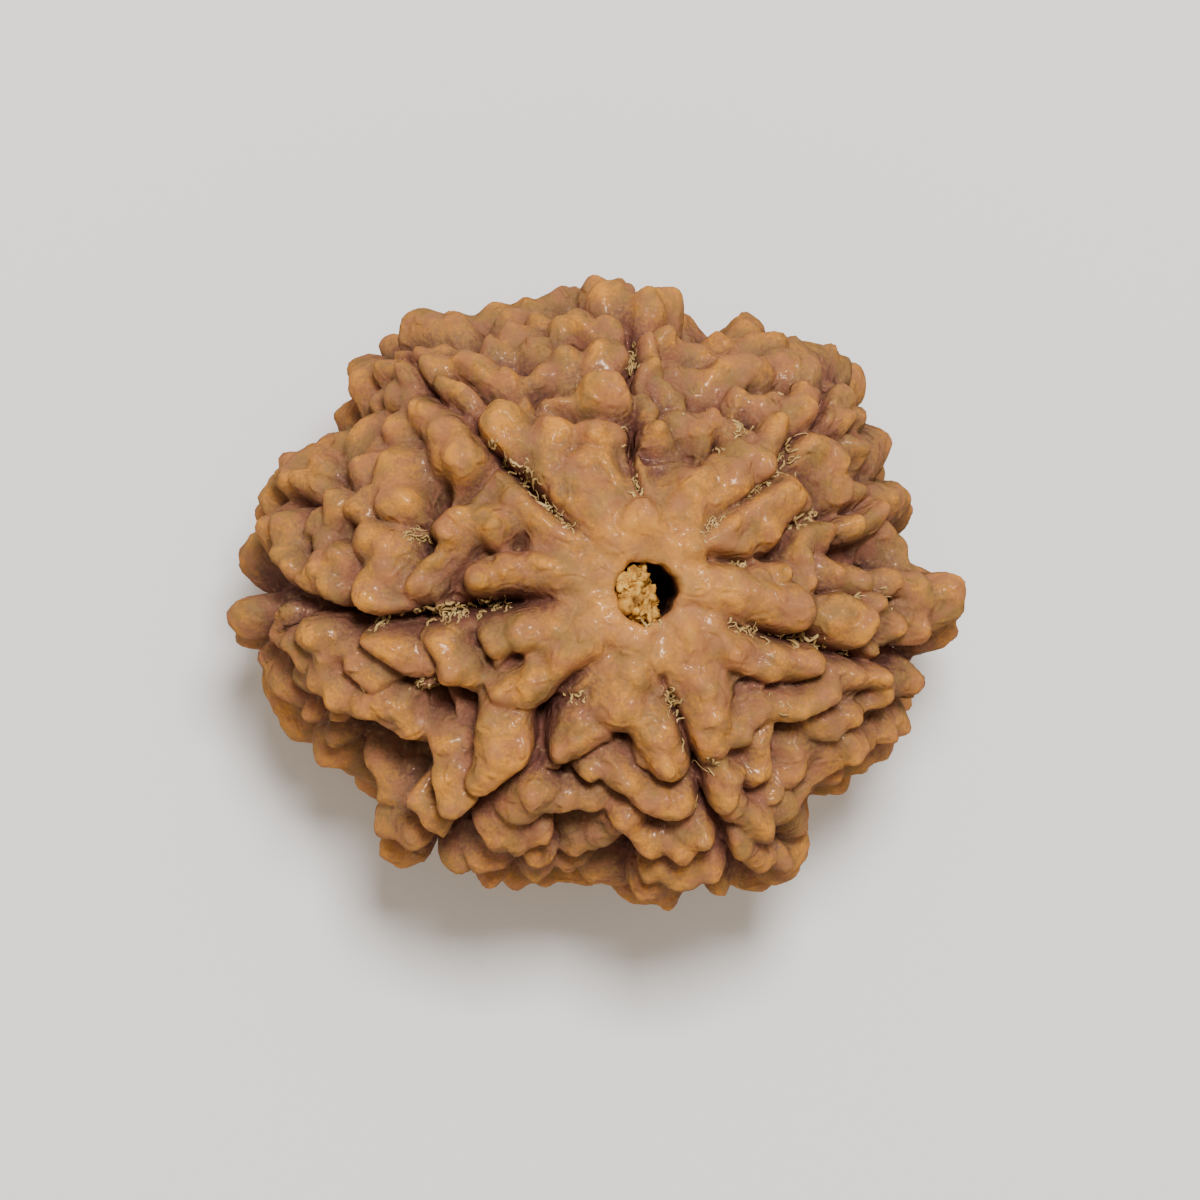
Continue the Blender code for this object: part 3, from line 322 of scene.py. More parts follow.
        ((-9.4, 1.9, 0.7), (-8.6, 1.8, 0.7)),
    ),
)
# The underside's rule.
underside = dict(
    draws=5200, knobRadii=(0.6, 1.15), radiusSpread=(0.85, 1.15), ridgeLengths=(0.3, 2.4), apart=0.92,
    furrowClearance=0.28, furrowSpread=0.6, furrowSway=5.0, facing=0.45, highest=0.55,
    petalInner=1.5, petalLength=2.6, petalRadii=(0.8, 1.0, 1.0),
)


def acrossCanal(points):
    # Each point's distance from the canal's axis.
    return np.hypot(points[:, 0] - canal["x"], points[:, 1] - canal["y"])


def outlineReach(azimuth):
    # Cosine easing from one named reach to the next, round the azimuth.
    angles = np.radians([row[0] for row in body["outline"]])
    reaches = np.array([row[1] for row in body["outline"]])
    azimuth = azimuth % fullTurn
    last = np.clip(np.searchsorted(angles, azimuth, side="right"), 1, len(angles) - 1)
    share = (azimuth - angles[last - 1]) / (angles[last] - angles[last - 1])
    return reaches[last - 1] + (1 - np.cos(math.pi * share)) / 2 * (reaches[last] - reaches[last - 1])


def bodySize(points):
    # ((plan distance / reach)^p + |z / half height|^p)^(1/p): 1 on the rounded body.
    x, y, z = np.moveaxis(points, -1, 0)
    plan = np.hypot(x, y) / outlineReach(np.arctan2(y, x))
    power = body["sidePower"]
    return (plan**power + np.abs(z / body["halfHeight"]) ** power) ** (1 / power)


def bodyNormals(points):
    # The slope of bodySize by small steps along each axis, made unit long.
    step = 0.01
    slopes = [bodySize(points + step * axis) - bodySize(points - step * axis) for axis in np.eye(3)]
    slope = np.stack(slopes, axis=-1)
    return slope / np.linalg.norm(slope, axis=-1, keepdims=True)


def sightAxes():
    # Right, up and towards the eye, in the view that the lists are read in.
    left, front = math.radians(view["leanLeft"]), math.radians(view["leanFront"])
    toward = np.array((-math.sin(left), -math.sin(front), 0.0))
    toward[2] = math.sqrt(1 - toward @ toward)
    right = np.cross((0.0, 1.0, 0.0), toward)
    right /= np.linalg.norm(right)
    return right, np.cross(toward, right), toward


def lifted(points):
    # Carries points of the view along their sight lines to where these first meet the body.
    right, up, toward = sightAxes()
    plan = np.array([point[:2] for point in points]) + (view["canalX"], view["canalY"])
    eye = view["distance"] * toward
    ray = plan[:, :1] * right + plan[:, 1:] * up - eye
    ray /= np.linalg.norm(ray, axis=1, keepdims=True)
    nearest, farthest, samples = view["distance"] - 14, view["distance"] + 2, 640
    reach = np.linspace(nearest, farthest, samples)
    along = eye + ray[:, None] * reach[:, None]
    size = bodySize(along)
    first = np.where((size < 1).any(axis=1), (size < 1).argmax(axis=1), size.argmin(axis=1))
    found = along[np.arange(len(along)), first]
    return found / bodySize(found)[:, None]


def onBody(azimuth, polar):
    # The body's point seen from the canal's middle, found by halving the stretch that holds it.
    direction = np.stack(
        (np.sin(polar) * np.cos(azimuth), np.sin(polar) * np.sin(azimuth), np.cos(polar)), axis=-1
    )
    middle = (canal["x"], canal["y"], 0.0)
    outside, halvings = 20.0, 24
    low, high = np.zeros(np.shape(polar)), np.full(np.shape(polar), outside)
    for _ in range(halvings):
        reach = (low + high) / 2
        inside = bodySize(middle + reach[..., None] * direction) < 1
        low, high = np.where(inside, reach, low), np.where(inside, high, reach)
    return middle + low[..., None] * direction


def furrowPaths(random):
    # Each furrow goes on past the rim to the lower collar, swaying a little as it goes.
    shortOfPole, steps = 0.3, 8
    paths = []
    for _, *course in furrows:
        upper = lifted(course)
        x, y, z = upper[-1] - (canal["x"], canal["y"], 0.0)
        polar = np.linspace(math.atan2(math.hypot(x, y), z), math.pi - shortOfPole, steps + 1)[1:]
        sway = np.cumsum(random.normal(0, math.radians(underside["furrowSway"]), steps))
        paths.append(np.concatenate((upper, onBody(math.atan2(y, x) + sway * np.sin(polar), polar))))
    return paths


def runDistance(points, start, end):
    # How far along a straight run each point lies, as a share, and its offset from there.
    run = end - start
    share = np.clip((points - start) @ run / max(run @ run, 1e-9), 0, 1)
    return share, points - start - share[:, None] * run


def pathDistance(points, path):
    # The distance of each point to a path of straight runs.
    best = np.full(len(points), np.inf)
    for start, end in zip(path, path[1:]):
        best = np.minimum(best, np.linalg.norm(runDistance(points, start, end)[1], axis=1))
    return best


def listedRidges(random):
    # The listed ridges as paths on the body, with the radius and the rise at each point.
    listed = [ridge for face in faces.values() for ridge in face]
    tops = random.uniform(*carving["tops"], len(listed))
    ridges = []
    for ridge, top in zip(listed, tops):
        radii = np.array([point[2] for point in ridge])
        rises = np.array([sum(point[3:]) for point in ridge])
        ridges.append((lifted(ridge), radii, rises + top))
    return ridges


def petalRidges(paths):
    # One ridge in the middle of each face, running out from the lower collar.
    middle = (canal["x"], canal["y"], 0.0)
    ends = sorted(math.atan2(*(path[-1] - middle)[1::-1]) for path in paths)
    reach = underside["petalInner"] + underside["petalLength"] * np.array((0.0, 0.5, 1.0))
    polar = math.pi - np.arctan(reach / body["halfHeight"])
    petals = []
    for this, following in zip(ends, ends[1:] + [ends[0] + fullTurn]):
        path = onBody(np.full(len(reach), (this + following) / 2), polar)
        petals.append((path, np.array(underside["petalRadii"]), np.zeros(len(reach))))
    return petals


def drawnRidges(random, taken, paths):
    # Short ridges and knobs over the underside wherever they have room. Every draw is made first,
    # so that one place taken or left changes nothing elsewhere.
    kinds = (
        (0, fullTurn), (-1, underside["highest"]), underside["knobRadii"], underside["ridgeLengths"],
        (0, math.pi), carving["tops"],
    )
    lows, highs = zip(*kinds)
    drawn = random.uniform(lows, highs, (underside["draws"], len(kinds)))
    azimuth, height, radii, lengths, turns, tops = drawn.T
    spreads = random.uniform(*underside["radiusSpread"], (len(radii), 2 + int(max(lengths))))
    starts = onBody(azimuth, np.arccos(height))
    normals = bodyNormals(starts)
    sides = np.cross(normals, (0.0, 0.0, 1.0))
    sides /= np.linalg.norm(sides, axis=1, keepdims=True) + 1e-9
    headings = np.cos(turns)[:, None] * sides + np.sin(turns)[:, None] * np.cross(normals, sides)
    toward = sightAxes()[2]
    ridges = list(taken)
    centres = np.concatenate([path for path, _, _ in ridges])
    sizes = np.concatenate([size for _, size, _ in ridges])
    for i in np.flatnonzero(normals @ toward < underside["facing"]):
        path = starts[i] + np.linspace(0, lengths[i], 2 + int(lengths[i]))[:, None] * headings[i]
        path = path / bodySize(path)[:, None]
        away = np.linalg.norm(path[:, None] - centres, axis=2)
        clear = underside["furrowClearance"] + underside["furrowSpread"] * radii[i]
        if (
            (acrossCanal(path) < underside["petalInner"] + radii[i]).any()
            or (away < underside["apart"] * (sizes + radii[i])).any()
            or (bodyNormals(path) @ toward > underside["facing"]).any()
            or any((pathDistance(path, furrow) < clear).any() for furrow in paths)
        ):
            continue
        size = radii[i] * spreads[i, :len(path)]
        ridges.append((path, size, np.full(len(path), tops[i])))
        centres, sizes = np.concatenate((centres, path)), np.concatenate((sizes, size))
    return ridges


def drawWave(random, lengths):
    # A wave through space: its heading, as long as its turns per mm in radians, and its phase.
    heading = random.normal(size=3)
    heading *= fullTurn / random.uniform(*lengths) / np.linalg.norm(heading)
    return heading, random.uniform(0, fullTurn)


def drawForms():
    # Everything that the relief is worked from, in one seeded order.
    random = np.random.default_rng(carving["seed"])
    waves = [
        (*drawWave(random, carving["waveLengths"]), random.normal(0, carving["waveSway"], 3))
        for _ in range(carving["waves"])
    ]
    listed = listedRidges(random)
    paths = furrowPaths(random)
    ridges = drawnRidges(random, listed + petalRidges(paths), paths)
    # small knobs sit lower
    ridges = [
        (path, size, rises - carving["smallLower"] * max(0.0, 1 - size.max()))
        for path, size, rises in ridges
    ]
    clefted = [lifted(cleft) for cleft in clefts]
    return dict(waves=waves, paths=paths, ridges=ridges, clefts=clefted, pits=lifted(pits))


def swayed(points, forms):
    # Points shifted by a few crossed sine waves.
    shift = np.zeros(points.shape)
    for heading, phase, sway in forms["waves"]:
        shift += np.sin(points @ heading + phase)[:, None] * sway
    return points + shift


def within(points, centre, reach):
    # The numbers of the points closer to the centre than the reach.
    return np.flatnonzero(((points - centre) ** 2).sum(axis=1) < reach**2)


def addBump(height, points, centre, width, rise):
    # Adds rise * exp(-(distance / width)^2) to the heights near the centre, and says which those are.
    near = within(points, centre, 3 * width)
    away = np.linalg.norm(points[near] - centre, axis=1)
    height[near] += rise * np.exp(-((away / width) ** 2))
    return near


def outwardOf(path):
    # The way out from the canal, laid along the body: full near the mouths and nothing at the rim.
    normals = bodyNormals(path)
    away = path - (canal["x"], canal["y"], 0.0)
    away[:, 2] = 0.0
    away /= np.linalg.norm(away, axis=1, keepdims=True)
    return away - (away * normals).sum(axis=1, keepdims=True) * normals


def ridgeHeight(points, ridge, calm):
    # Highest over the path's runs of: rise, less a saddle between its points, less crest * t^2 +
    # (1 - crest) * t^4 of the distance t from the run in radii. The outward side is higher and steeper.
    path, radii, rises = ridge
    outward = outwardOf(path)
    crest, lowest = carving["crest"], -9.0
    best = np.full(len(points), lowest)
    for i in range(max(1, len(path) - 1)):
        j = min(i + 1, len(path) - 1)
        share, offset = runDistance(points, path[i], path[j])
        radius = radii[i] + share * (radii[j] - radii[i])
        away = np.linalg.norm(offset, axis=1)
        lean = (offset * (outward[i] + share[:, None] * (outward[j] - outward[i]))).sum(axis=1)
        fall = away / (carving["wider"] * radius) * (1 + carving["ledge"] * lean / np.maximum(away, 1e-6))
        fall = np.minimum(fall, carving["ridgeReach"])
        length = np.linalg.norm(path[j] - path[i])
        saddle = carving["saddle"] * np.clip(length - carving["saddleFrom"], 0, 1) * calm
        saddle = saddle * 4 * share * (1 - share)
        rise = rises[i] + share * (rises[j] - rises[i]) + carving["tilt"] * np.clip(lean / radius, -1, 1)
        drop = carving["ridgeFall"] * radius * (crest * fall**2 + (1 - crest) * fall**4)
        best = np.maximum(best, rise - saddle - drop)
    return best


def grooveDepth(points, path, drops, width):
    # Deepest over the path's runs of drop * exp(-(distance / width)^2).
    deepest = np.zeros(len(points))
    for i in range(len(path) - 1):
        share, offset = runDistance(points, path[i], path[i + 1])
        drop = drops[i] + share * (drops[i + 1] - drops[i])
        deepest = np.maximum(deepest, drop * np.exp(-((offset**2).sum(axis=1) / width**2)))
    return deepest


def relief(points, forms):
    # log(sum of exp(blend * height)) / blend over ground, collars and ridges, less furrows, clefts
    # and pits.
    points = swayed(points, forms)
    plan = np.hypot(points[:, 0], points[:, 1])
    # the ground lies deeper on the front half than on the back half
    back = points[:, 1] / np.maximum(plan, carving["leanFrom"])
    ground = carving["groundLean"] * back - carving["groundDrop"]
    across = acrossCanal(points)
    collar = -canal["collarDrop"] - canal["collarFall"] * np.maximum(across - canal["collarRadius"], 0) ** 2
    calm = np.clip((across - carving["farFrom"]) / carving["farOver"], 0, 1)
    # forms melt into each other near the canal and part more sharply farther out
    blend = carving["blendNear"] + (carving["blendFar"] - carving["blendNear"]) * calm
    total = np.exp(blend * ground) + np.exp(blend * collar)
    for ridge in forms["ridges"]:
        path, radii, _ = ridge
        middle = (path.min(axis=0) + path.max(axis=0)) / 2
        span = np.linalg.norm(path - middle, axis=1).max()
        reach = carving["ridgeReach"] * carving["wider"] / (1 - carving["ledge"]) * radii.max()
        near = within(points, middle, span + reach)
        total[near] += np.exp(blend[near] * ridgeHeight(points[near], ridge, calm[near]))
    height = np.log(total) / blend
    for path, (width, *course) in zip(forms["paths"], furrows):
        drops = [point[2] for point in course]
        drops += drops[-1:] * (len(path) - len(drops))
        shown = np.clip((across - carving["furrowFrom"]) / carving["furrowOver"], 0, 1)
        height -= grooveDepth(points, path, drops, width) * shown
    for path in forms["clefts"]:
        away = pathDistance(points, path)
        height -= carving["cleftDrop"] * np.exp(-((away / carving["cleftWidth"]) ** 2))
    for pit, (_, _, width) in zip(forms["pits"], pits):
        addBump(height, points, pit, width, -carving["pitDrop"] * (carving["pitLeast"] + width))
    return height


def knobRelief(points, forms, random):
    # A small tip near each point of a ridge, and rings round it, evenly spaced from a middle off to
    # its side. Each point of the skin takes the rings of the knob that it is closest to.
    tips, rings, nearest = np.zeros(len(points)), np.zeros(len(points)), np.full(len(points), np.inf)
    ringLean = detail["ringAside"] * np.array(detail["ringLean"])
    for path, radii, _ in forms["ridges"]:
        for tip, radius in zip(path, radii):
            centre = tip + random.normal(0, detail["tipStray"], 3)
            width = detail["tipShare"] * radius * random.uniform(*detail["tipWidths"])
            rise = detail["tipHeight"] * random.uniform(*detail["tipHeights"])
            near = addBump(tips, points, centre, width, rise)
            reach = np.linalg.norm(points[near] - tip, axis=1) / radius
            closer = reach < nearest[near]
            away = np.linalg.norm(points[near] - tip - radius * ringLean, axis=1)
            ring = np.sin(away * fullTurn / detail["ringStep"]) * np.clip(detail["ringReach"] - reach, 0, 1)
            rings[near[closer]] = ring[closer]
            nearest[near[closer]] = reach[closer]
    # the rings show in some bands and are worn away in others
    least, swing = detail["ringShow"]
    shown = np.clip(np.sin(points @ detail["ringBands"]) * swing + least, 0, 1)
    return tips + detail["ringHeight"] * rings * shown


def fineRelief(points, forms, height):
    # Tips and rings on the knobs, with bumps, crossed ripples and creases, all less in the sunken
    # ground, which has ribs instead. Everything is calmer near the canal.
    random = np.random.default_rng(detail["seed"])
    fine = knobRelief(points, forms, random)
    count, pole = detail["bumps"], detail["poleGap"]
    azimuth = random.uniform(0, fullTurn, count)
    for centre in onBody(azimuth, np.arccos(random.uniform(-pole, pole, count))):
        width, rise = random.uniform(*detail["bumpRadii"]), random.uniform(*detail["bumpHeights"])
        addBump(fine, points, centre, width, rise)
    for _ in range(detail["ripples"]):
        heading, phase = drawWave(random, detail["rippleLengths"])
        fine += detail["rippleHeight"] * np.sin(points @ heading + phase) / 2
    # where a sum of crossed waves passes zero, thin wandering creases run over the knobs and low ribs
    # over the ground between them
    field = np.zeros(len(points))
    for _ in range(detail["creaseWaves"]):
        heading, phase = drawWave(random, detail["creaseLengths"])
        field += np.sin(points @ heading + phase)
    field /= math.sqrt(detail["creaseWaves"] / 2)
    fine -= detail["creaseDrop"] * np.exp(-((field / detail["creaseWidth"]) ** 2))
    raised = np.clip((height - detail["groundLevel"]) / detail["groundFade"], 0, 1)
    ribs = detail["ribHeight"] * (1 - raised) * np.exp(-((field / detail["ribWidth"]) ** 2))
    calm = np.clip((acrossCanal(points) - detail["calmFrom"]) / detail["calmOver"], detail["calmLeast"], 1)
    return (fine * (detail["groundShare"] + (1 - detail["groundShare"]) * raised) + ribs) * calm


def gridFaces(rows, columns):
    # Four-sided faces of a grid that closes on itself both ways, as a ring's skin does.
    row, column = np.meshgrid(np.arange(rows), np.arange(columns), indexing="ij")
    beside = (column + 1) % columns
    first, below = row * columns, (row + 1) % rows * columns
    corners = (first + column, below + column, below + beside, first + beside)
    return np.stack([corner.ravel() for corner in corners], axis=1)


def meshPiece(name, points, faceRows, material, attributes=None):
    # A mesh object at the origin from whole arrays, points in mm; attributes are floats on its points.
    mesh = bpy.data.meshes.new(name)
    mesh.vertices.add(len(points))
    mesh.vertices.foreach_set("co", (points * mm).astype(np.float32).ravel())
    sides = faceRows.shape[1]
    mesh.loops.add(faceRows.size)
    mesh.loops.foreach_set("vertex_index", faceRows.astype(np.int32).ravel())
    mesh.polygons.add(len(faceRows))
    mesh.polygons.foreach_set("loop_start", np.arange(0, faceRows.size, sides, dtype=np.int32))
    mesh.update(calc_edges=True)
    mesh.shade_smooth()
    for key, values in (attributes or {}).items():
        mesh.attributes.new(key, "FLOAT", "POINT").data.foreach_set("value", values.astype(np.float32))
    mesh.materials.append(material)
    piece = bpy.data.objects.new(name, mesh)
    bpy.context.scene.collection.objects.link(piece)
    return piece


def surfaceNormals(points, rows, columns):
    # Cross product of the grid's two central differences at each point.
    sheet = points.reshape(rows, columns, 3)
    down = np.roll(sheet, -1, axis=0) - np.roll(sheet, 1, axis=0)
    along = np.roll(sheet, -1, axis=1) - np.roll(sheet, 1, axis=1)
    normal = np.cross(down, along)
    return (normal / np.maximum(np.linalg.norm(normal, axis=2, keepdims=True), 1e-9)).reshape(-1, 3)


def hollowness(points, normals, rows, columns):
    # How steeply the skin rises round each point, from four neighbours a little way off: above 0 in
    # creases, below 0 on crests.
    sheet, facing = points.reshape(rows, columns, 3), normals.reshape(rows, columns, 3)
    total = np.zeros((rows, columns))
    for axis, away in enumerate((marking["hollowRows"], marking["hollowColumns"])):
        for shift in (away, -away):
            gap = np.roll(sheet, shift, axis=axis) - sheet
            total += (gap * facing).sum(axis=2) / np.maximum(np.linalg.norm(gap, axis=2), 1e-9)
    return total.ravel() / 4


def canalWall(outer, azimuth, edgeWave):
    # Rows from the lower mouth back up to the upper, pushed out to the canal's slightly wavy wall.
    middle = (canal["x"], canal["y"])
    share = (np.arange(1, grid["canal"] + 1) / (grid["canal"] + 1))[:, None]
    inner = outer[-1] * (1 - share[..., None]) + outer[0] * share[..., None]
    heading = inner[..., :2] - middle
    heading /= np.linalg.norm(heading, axis=2, keepdims=True)
    rise, count, turns = canal["wallWave"]
    wave = 1 + edgeWave + rise * np.sin(count * azimuth + turns * share)
    inner[..., :2] = middle + canal["radius"] * wave[..., None] * heading
    return inner


def shellMarks(size, outer, height, hollow, forms):
    # What the shell's colour goes by, on the skin's points: height less the hollowness' share, a painted
    # shade in the creases, nearness to a furrow, and a lighter ring round the mouths.
    # The canal's wall is given a low depth, a painted shade down the canal.
    count = len(outer)
    across = acrossCanal(outer)
    nearMouth = np.exp(-(((across - canal["radius"]) / marking["mouthWidth"]) ** 2))
    # the canal's wall takes a low depth, a painted shade down the canal
    marks = dict(depth=np.full(size, marking["canalShade"]), furrow=np.zeros(size), collar=np.zeros(size))
    # painted shade, partly the shell's own darker crease colour: the lower and more hollow the skin, the
    # darker its tone
    marks["depth"][:count] = height - marking["creaseShade"] * hollow + marking["mouthRise"] * nearMouth
    raised = np.clip((height - marking["mouthFrom"]) / marking["mouthOver"], 0, 1)
    marks["collar"][:count] = marking["mouthShare"] * nearMouth * raised
    swayedOuter = swayed(outer, forms)
    away = np.min([pathDistance(swayedOuter, path) for path in forms["paths"]], axis=0)
    marks["furrow"][:count] = np.exp(-((away / marking["stainWidth"]) ** 2))
    return marks


def nutSurface(forms, material):
    # One closed skin: down the outside from the upper mouth to the lower, and back up the canal.
    columns, rows = grid["round"], grid["upper"] + grid["lower"] + grid["canal"]
    azimuth = np.linspace(0, fullTurn, columns, endpoint=False)
    edge = math.atan(canal["radius"] / body["halfHeight"])
    polar = np.concatenate((
        np.linspace(edge, math.pi / 2, grid["upper"], endpoint=False),
        np.linspace(math.pi / 2, math.pi - edge, grid["lower"]),
    ))
    plain = onBody(*(side.ravel() for side in np.meshgrid(azimuth, polar)))
    count, across = len(plain), acrossCanal(plain)
    height = relief(plain, forms)
    height -= detail["deepen"] * np.maximum(detail["deepenFrom"] - height, 0)
    height += fineRelief(plain, forms, height)
    # the lip rolls over into the canal as nearly a quarter circle
    lip = np.clip(1 - (across - canal["radius"]) / canal["lip"], 0, 1)
    height -= canal["lip"] * (1 - np.sqrt(1 - lip**2 * canal["lipTurn"]))
    outer = (plain + bodyNormals(plain) * height[:, None]).reshape(len(polar), columns, 3)
    edgeWave = sum(rise * np.sin(waves * azimuth + phase) for rise, waves, phase in canal["edgeWaves"])
    uneven = edgeWave * lip.reshape(len(polar), columns)
    outer[..., :2] += (outer[..., :2] - (canal["x"], canal["y"])) * uneven[..., None]
    points = np.concatenate((outer, canalWall(outer, azimuth, edgeWave))).reshape(-1, 3)
    # the knobs swell sideways too, which narrows the creases between them
    swelling = np.zeros(len(points))
    farther = np.clip((across - detail["swellFrom"]) / detail["swellOver"], 0, 1)
    swelling[:count] = detail["swell"] * farther * np.clip(height + detail["swellDepth"], 0, 1)
    facing = surfaceNormals(points, rows, columns)
    points = points + facing * swelling[:, None]
    points[:, 2] = np.maximum(points[:, 2] + body["middleZ"], 0.0)
    hollow = hollowness(points, facing, rows, columns)[:count]
    marks = shellMarks(len(points), plain, height, hollow, forms)
    return meshPiece("nut_surface", points, gridFaces(rows, columns), material, marks)


def linear(hexColour):
    # sRGB hex to linear light.
    channels = [int(hexColour[i:i + 2], 16) / 255 for i in (1, 3, 5)]
    return (*(c / 12.92 if c <= 0.04045 else ((c + 0.055) / 1.055) ** 2.4 for c in channels), 1.0)


def node(tree, kind, inputs=(), ramp=(), **settings):
    # Adds a node, sets its properties, fills its sockets by name or number and its colour stops.
    made = tree.nodes.new(kind)
    for key, value in settings.items():
        setattr(made, key, value)
    for key, value in dict(inputs).items():
        if isinstance(value, bpy.types.NodeSocket):
            tree.links.new(value, made.inputs[key])
        else:
            made.inputs[key].default_value = value
    if ramp:
        stops = made.color_ramp.elements
        while len(stops) < len(ramp):
            stops.new(0.5)
        for stop, (place, colour) in zip(stops, ramp):
            stop.position = place
            stop.color = linear(colour)
    return made


def newMaterial(name):
    made = bpy.data.materials.new(name)
    made.use_nodes = True
    return made, made.node_tree, made.node_tree.nodes["Principled BSDF"]


# Shell: woody endocarp, lightly oiled: mottled tan with small crisp glints on its wrinkles, golden on the
# tips, dull and olive in blots, rosy on the slopes, purple brown down in the creases, and dark in the
# hollows, partly its own colour and partly painted shade.
shellFinish = dict(
    deepest=-2.0,
    highest=0.4,
    # the tone from the deepest to the highest: dark in the hollows and creases, partly the shell's own
    # colour and partly painted shade, up to golden on the tips
    depthShadeRamp=(
        (0.0, "#1C1512"), (0.12, "#3A2C27"), (0.26, "#62493E"), (0.4, "#7F5A44"), (0.56, "#946944"),
        (0.74, "#A8743E"), (0.88, "#B97B38"), (1.0, "#D08B3A"),
    ),
    olive="#80663F",
    rose="#A0664C",
    purple="#6C413A",
    fleck="#A98862",
    collar="#CA8E53",
    # main size in mm, detail and roughness of each pattern of blots
    patterns=dict(
        olive=(1.3, 5.0, 0.65), rose=(0.9, 5.0, 0.65), speckle=(0.42, 4.0, 0.65), grain=(0.11, 2.0, 0.5),
        flecks=(0.28, 3.0, 0.6),
    ),
    # where in its pattern each tint starts and is full, and its greatest share
    shares=dict(olive=(0.44, 0.6, 0.7), rose=(0.46, 0.6, 0.6), flecks=(0.57, 0.66, 0.5)),
    # how far speckles and grain shift the tone, in mm of height
    unevenness=dict(speckle=1.4, grain=1.6),
    # mm below the highest where the sunken tints start and are full, and their greatest share
    sunken=(0.6, 1.5, 0.8),
    # the purple's share away from the furrows
    purpleAway=0.55,
    # size in mm, detail and distortion of the wrinkles, and the heights of wrinkles and speckles
    wrinkles=(0.55, 1.5, 0.6),
    wrinkleHeight=0.13,
    speckleHeight=0.06,
    speckleStrength=0.8,
    # roughness, lowest and highest, and the part of the rosy pattern that it follows
    roughness=(0.5, 0.68),
    roughnessFrom=(0.35, 0.65),
    # most and least of the oil film, which has dried off the olive blots
    coat=(0.36, 0.03),
    coatFrom=(0.4, 0.58),
    coatRoughness=0.17,
    specular=0.12,
)


def shellMaterial():
    finish = shellFinish
    made, tree, shader = newMaterial("oiled nut shell")
    place = node(tree, "ShaderNodeTexCoord").outputs["Object"]
    depth, mouthTint, nearFurrow = [
        node(tree, "ShaderNodeAttribute", attribute_name=name).outputs["Fac"]
        for name in ("depth", "collar", "furrow")
    ]
    blots = {}
    for name, (size, detailed, roughness) in finish["patterns"].items():
        inputs = {"Vector": place, "Scale": 1 / (size * mm), "Detail": detailed, "Roughness": roughness}
        blots[name] = node(tree, "ShaderNodeTexNoise", inputs).outputs["Fac"]
    # the tone goes by height in the relief, made uneven by speckles and grain: dark in the hollows and
    # creases, partly the shell's own colour and partly painted shade
    uneven = depth
    for name, weight in finish["unevenness"].items():
        inputs = {0: blots[name], 1: weight, 2: uneven}
        uneven = node(tree, "ShaderNodeMath", inputs, operation="MULTIPLY_ADD").outputs[0]
    shift = sum(finish["unevenness"].values()) / 2
    low, high = finish["deepest"] + shift, finish["highest"] + shift
    inputs = {"Value": uneven, "From Min": low, "From Max": high}
    level = node(tree, "ShaderNodeMapRange", inputs).outputs["Result"]
    tone = node(tree, "ShaderNodeValToRGB", {"Fac": level}, finish["depthShadeRamp"]).outputs["Color"]
    # how much of each tint shows: olive and rose in blots, purple down in the creases and most along
    # the furrows, gold on the collar, and pale flecks of dried skin stuck in the creases
    shares = {}
    for name, (start, full, most) in finish["shares"].items():
        inputs = {"Value": blots[name], "From Min": start, "From Max": full, "To Max": most}
        shares[name] = node(tree, "ShaderNodeMapRange", inputs).outputs["Result"]
    start, full, most = finish["sunken"]
    inputs = {"Value": uneven, "From Min": high - start, "From Max": high - full, "To Max": most}
    sunken = node(tree, "ShaderNodeMapRange", inputs).outputs["Result"]
    inputs = {"Value": nearFurrow, "To Min": finish["purpleAway"]}
    near = node(tree, "ShaderNodeMapRange", inputs).outputs["Result"]
    purple = node(tree, "ShaderNodeMath", {0: sunken, 1: near}, operation="MULTIPLY").outputs[0]
    flecks = node(tree, "ShaderNodeMath", {0: sunken, 1: shares["flecks"]}, operation="MULTIPLY").outputs[0]
    tints = dict(olive=shares["olive"], rose=shares["rose"], purple=purple, collar=mouthTint, fleck=flecks)
    for name, share in tints.items():
        inputs = {0: share, 6: tone, 7: linear(finish[name])}
        tone = node(tree, "ShaderNodeMix", inputs, data_type="RGBA").outputs[2]
    tree.links.new(tone, shader.inputs["Base Color"])
    # wrinkles: narrow crests of a folded noise, which the oil film's glints follow
    size, detailed, distortion = finish["wrinkles"]
    inputs = {"Vector": place, "Scale": 1 / (size * mm), "Detail": detailed, "Distortion": distortion}
    wrinkles = node(tree, "ShaderNodeTexNoise", inputs, noise_type="RIDGED_MULTIFRACTAL").outputs["Fac"]
    inputs = {"Height": wrinkles, "Strength": 1.0, "Distance": finish["wrinkleHeight"] * mm}
    film = node(tree, "ShaderNodeBump", inputs).outputs[0]
    inputs = {
        "Height": blots["speckle"], "Strength": finish["speckleStrength"],
        "Distance": finish["speckleHeight"] * mm, "Normal": film,
    }
    tree.links.new(node(tree, "ShaderNodeBump", inputs).outputs[0], shader.inputs["Normal"])
    tree.links.new(film, shader.inputs["Coat Normal"])
    # the wood is duller where rosy, and the oil film is gone where olive
    for name, pattern, span, ends in (
        ("Roughness", "rose", "roughnessFrom", "roughness"), ("Coat Weight", "olive", "coatFrom", "coat"),
    ):
        limits = zip(("From Min", "From Max", "To Min", "To Max"), finish[span] + finish[ends])
        gloss = node(tree, "ShaderNodeMapRange", {"Value": blots[pattern], **dict(limits)})
        tree.links.new(gloss.outputs["Result"], shader.inputs[name])
    shader.inputs["Specular IOR Level"].default_value = finish["specular"]
    shader.inputs["Coat Roughness"].default_value = finish["coatRoughness"]
    return made


